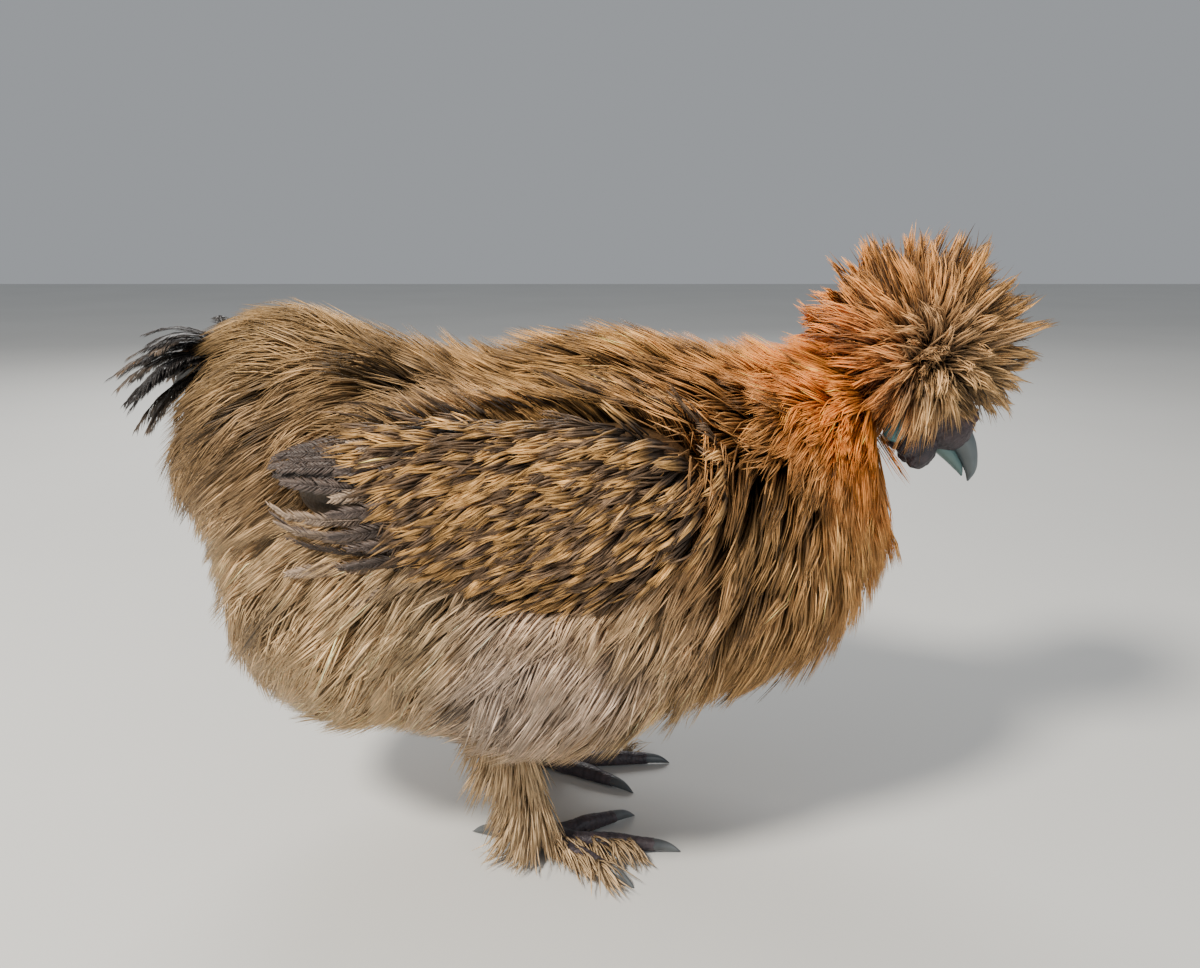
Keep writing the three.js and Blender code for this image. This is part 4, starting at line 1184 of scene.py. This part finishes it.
def make_tail():
    rows = []
    step = 1 / (len(VANE_SHARES) - 1)
    for tier in TAIL_TIERS:
        for fan in np.linspace(-tier["wide"], tier["wide"], tier["count"]):
            turn = math.radians(fan + rng.normal(0, 5)) + np.radians(rng.normal(0, 16)) * VANE_SHARES
            length = tier["length"] * rng.uniform(0.82, 1.05)
            lift = np.radians(tier["rise"] + rng.normal(0, 7) - tier["bend"] * VANE_SHARES)
            flat, rise = np.cos(lift), np.sin(lift)
            way = np.stack([-flat * np.cos(turn), flat * np.sin(turn), rise], -1)
            up = np.stack([rise * np.cos(turn), -rise * np.sin(turn), flat], -1)
            line = TAIL_ROOT + np.concatenate([np.zeros((1, 3)), np.cumsum(way[:-1] * length * step, 0)])
            rows.append((line, up, TAIL_HALF * rng.uniform(0.75, 1.1)))
    lines, normals, half = (np.array(row) for row in zip(*rows))
    colours = vane_colours(*lines.shape[:2], TAIL_DARK, TAIL_LIGHT, 0.25)
    colours[TAN_FEATHER] = TAN
    patches = unwrapped(lines[:, -1], TAIL_ROOT, (30, 30, 30))
    name = "tail_feathers"
    feathers(name, "tail_feather", lines, normals, half, 0.68, colours, patches, "tail", 0.8, 0.25)


make_tail()

# The face

# Pieces of the face as balls: middle, half axes and nose-down pitch
LOBES = paired("lobe", [((104.4, 14.8, 156.6), (4.2, 2.2, 6.0), -14)])
WATTLE_BALLS = [
    ((117.5, 5.6, 145.5), (5.2, 3.6, 7.2), 30),
    ((112.5, 6.6, 149.5), (5.5, 3.6, 6.0), 20),
    ((121.0, 4.0, 149.0), (4.0, 3.0, 4.6), 40),
]
WATTLES = paired("wattle", WATTLE_BALLS)
COMB = [
    ((132, 0, 161.5), (5.4, 4.4, 4.6), 0),
    ((135.4, -3, 158), (3.2, 3, 3), 0),
    ((135.4, 3, 158), (3.2, 3, 3), 0),
    ((129.5, -3.6, 164.2), (3, 2.6, 2.8), 0),
    ((129.5, 3.6, 164.2), (3, 2.6, 2.8), 0),
]


def fleshy(name, forms, soft, amount, scale):
    """Balls as one piece of the face, softly run together or not, with small uneven bumps."""
    piece = joined(name, [ball(*form) for form in forms])
    if soft:
        softened(piece, FACE_VOXEL)
    places, normals = coordinates(piece), normals_of(piece)
    bumps = np.sin(places * scale).prod(-1)
    bumps = bumps + 0.6 * np.sin(places[:, [1, 2, 0]] * scale * 1.7 + 1).prod(-1)
    moved(piece, places + normals * (bumps * amount)[:, None])
    return piece


def make_eye(label, side):
    eye = ball((-SHIFT_X, 0, 0), [EYE_RADIUS] * 3, 0)
    eye.name = f"eye_{label}_ball"
    eye.location = to_model(np.array((EYE[0], side * EYE[1], EYE[2])))
    for polygon in eye.data.polygons:
        polygon.use_smooth = True
    finished(eye, MATERIALS["eye"], "eye", f"eye_{label}")


def make_face():
    for label, side in SIDES.items():
        make_eye(label, side)
        lobe = fleshy(f"lobe_{label}", LOBES[f"lobe_{label}"], False, 0.35, 1.1)
        finished(lobe, MATERIALS["earlobe_skin"], "earlobe", f"earlobe_{label}")
        wattle = fleshy(f"wattle_{label}_fold", WATTLES[f"wattle_{label}"], True, 0.2, 1.3)
        finished(wattle, MATERIALS["wattle_skin"], "comb", f"wattle_{label}")
    comb = fleshy("comb_bumps", COMB, True, 0.25, 1.5)
    finished(comb, MATERIALS["comb_skin"], "comb", "comb")


make_face()

# The beak

# Down each half of the beak: x, y, z, half width and half height
UPPER_BEAK = [
    (123.6, 0, 158.2, 5.4, 5.4),
    (127.8, 0, 155.2, 5.7, 5.5),
    (131.6, 0, 151.4, 5.2, 5.2),
    (134.8, 0, 146.7, 4.3, 4.5),
    (136.9, 0, 141.7, 3.2, 3.4),
    (137.8, 0, 137.2, 1.9, 2.2),
    (137.2, 0, 133.0, 0.3, 0.3),
]
LOWER_BEAK = [
    (119.4, 0, 151.6, 4.8, 3.0),
    (123.6, 0, 148.6, 4.9, 3.2),
    (127.6, 0, 145.0, 4.3, 2.9),
    (131.0, 0, 141.2, 3.3, 2.2),
    (133.4, 0, 138.0, 2.2, 1.5),
    (134.8, 0, 135.0, 0.3, 0.3),
]
BEAK_UP = (1, 0, 0.75)
NOSTRIL = (131.0, 4.4, 154.0)
NOSTRIL_WAY = (0.62, 0, -0.78)  # the way its slit runs
NOSTRIL_HALF = (2.4, 1.3)  # half its length and half its width
NOSTRIL_DEPTH = 1.5
NOSTRIL_RIM = 0.35


def ridged(lift):
    """A ring drawn up to a soft ridge on top, and flatter below."""
    return np.where(lift > 0, np.abs(lift) ** 1.15, -(np.abs(lift) ** 1.6))


def make_beak():
    upper = lofted("beak_upper_horn", ringed(UPPER_BEAK, 46, 32, BEAK_UP, ridged))
    places = coordinates(upper)
    for side in SIDES.values():
        pit = places - np.array(NOSTRIL) * (1, side, 1)
        along = pit @ np.array(NOSTRIL_WAY)
        aside = np.linalg.norm(pit, axis=-1) ** 2 - along**2
        apart = np.sqrt((along / NOSTRIL_HALF[0]) ** 2 + aside / NOSTRIL_HALF[1] ** 2)
        places[:, 1] -= side * NOSTRIL_DEPTH * np.exp(-(apart**4))
        places[:, 1] += side * NOSTRIL_RIM * bell(apart, 1.35, 0.3)
    moved(upper, places)
    finished(upper, MATERIALS["beak_horn"], "beak", "beak_upper")
    lower = lofted("beak_lower_horn", ringed(LOWER_BEAK, 40, 28, BEAK_UP))
    finished(lower, MATERIALS["lower_beak_horn"], "beak", "beak_lower")


make_beak()

# The feet: claws, and feathers down the shank and over the outer toes

# Along a claw: distance past the toe's end, drop, half width and half height
CLAW_SHAPE = [
    (-1.6, -0.2, 2.2, 2.2),
    (1.0, -0.1, 2.0, 2.1),
    (3.6, 0.2, 1.6, 1.8),
    (6.2, 0.9, 1.0, 1.2),
    (9.0, 2.1, 0.2, 0.2),
]
FOOT_TUFTS = dict(each=22, half=0.40)
FOOT_COLOUR = np.array((0.50, 0.37, 0.22))
SHANK_TOP, SHANK_FALL = (-36, 60), (12, -46)  # the feathered stretch of a shank, x and z


def make_claws():
    for label, side in SIDES.items():
        claws = []
        for toe in TOES.values():
            line = np.array(toe_line(*toe, side))
            to, along = line[-1, :3], unit(line[-1, :3] - line[-2, :3])
            stops = []
            for far, drop, wide, high in CLAW_SHAPE:
                stops.append((*(to + along * far - np.array((0, 0, drop))), wide, high))
            claws.append(lofted("claw", ringed(stops, 20, 14, (0, 0, 1))))
        piece = joined(f"claws_{label}", claws)
        places = coordinates(piece)
        places[:, 2] = np.maximum(places[:, 2], 0.05)
        moved(piece, places)
        finished(piece, MATERIALS["claw_horn"], "claw", *[f"claw_{label}_{name}" for name in TOES])


def foot_tufts(side):
    """Where the tufts of a foot are rooted, down the shank and over two toes, and which way they lie."""
    roots, ways = [], []
    for share in np.linspace(0, 1, 16):
        x, z = (top + fall * share for top, fall in zip(SHANK_TOP, SHANK_FALL))
        for turn in (-50, 0, 50):
            out = np.array((math.sin(math.radians(turn)), side * math.cos(math.radians(turn)), 0))
            roots.append(np.array((x, side * FOOT_SPREAD, z)) + out * 4.2)
            ways.append(unit(out + np.array((-0.35, 0, -0.75))))
    for name in ("outer", "middle"):
        line = np.array(toe_line(*TOES[name], side))[:, :3]
        stops = np.arange(len(line))
        for share in (0.15, 0.3, 0.45, 0.6, 0.75):
            place = np.array([np.interp(share * stops[-1], stops, line[:, k]) for k in range(3)])
            roots.append(place + np.array((0, side * 1.5, 1.5)))
            ways.append(unit(np.array((0.5, side * 0.9, 0.25))))
    return np.array(roots), np.array(ways)


def make_foot_feathers():
    for label, side in SIDES.items():
        roots, ways = foot_tufts(side)
        owner = np.repeat(np.arange(len(roots)), FOOT_TUFTS["each"])
        count = len(owner)
        length = (rng.uniform(11, 21, len(roots))[owner] * rng.uniform(0.7, 1.1, count))[:, None, None]
        way = unit(ways[owner] + rng.normal(0, 0.20, (count, 3)))[:, None]
        start = (roots[owner] + rng.normal(0, 0.8, (count, 3)))[:, None]
        fall = np.array((0, 0, -1.0)) * (SHARES**2)[None, :, None] * 0.55
        lines = start + (way * SHARES[None, :, None] + fall) * length
        lines[..., 2] = np.maximum(lines[..., 2], 1.2 + rng.uniform(0, 1.5, (count, 1)))
        normals = np.tile(unit(np.array((0.0, side * 0.6, 0.8))), (count, 4, 1))
        colours = FOOT_COLOUR * tones(count, 0.25)[:, None, None] * (0.45 + 0.65 * SHARES)[None, :, None]
        half = widths(FOOT_TUFTS["half"], count, THIN, 0.7, 1.2)
        patches = unwrapped(roots, (-30, side * FOOT_SPREAD, 30), (20, 20, 40))[owner]
        name = f"foot_feathers_{label}"
        strand_pieces(name, "fluff_feather", lines, normals, half, 0.6, colours, patches, [])


make_claws()
make_foot_feathers()

# Floor and lights
FLOOR_SIZE = 8.0
FLOOR_TONES = ((0.60, 0.60, 0.585), (0.63, 0.63, 0.615))
LIGHT_TARGET = (0.0, 0.0, 0.12)
# Lights: place, size, power and colour
LIGHTS = {
    "key": ((-0.75, -0.85, 1.25), 0.35, 46.0, (1.0, 0.94, 0.84)),
    "fill": ((1.0, -1.2, 0.6), 1.2, 6.0, (0.90, 0.95, 1.0)),
    "back": ((-0.3, 1.2, 1.0), 0.8, 14.0, (1.0, 0.98, 0.95)),
}
WORLD_COLOUR = (0.86, 0.90, 0.95, 1)
WORLD_STRENGTH = 0.40


def make_floor():
    bpy.ops.mesh.primitive_plane_add(size=FLOOR_SIZE, location=(0, 0, -0.0002))
    floor = bpy.context.object
    floor.name = "floor"
    made, add, link = material("pale_floor", 0.85, 0.15)
    link(two_tones(add, 3.0, *FLOOR_TONES), "Base Color")
    floor.data.materials.append(made)


def make_lights():
    for name, (place, size, power, colour) in LIGHTS.items():
        data = bpy.data.lights.new(name, "AREA")
        data.shape = "DISK"
        data.size = size
        data.energy = power
        data.color = colour
        light = bpy.data.objects.new(name, data)
        light.location = place
        way = Vector(LIGHT_TARGET) - Vector(place)
        light.rotation_euler = way.to_track_quat("-Z", "Y").to_euler()
        bpy.context.scene.collection.objects.link(light)
    world = bpy.data.worlds.new("studio")
    world.use_nodes = True
    background = world.node_tree.nodes["Background"]
    background.inputs["Color"].default_value = WORLD_COLOUR
    background.inputs["Strength"].default_value = WORLD_STRENGTH
    bpy.context.scene.world = world


make_floor()
make_lights()
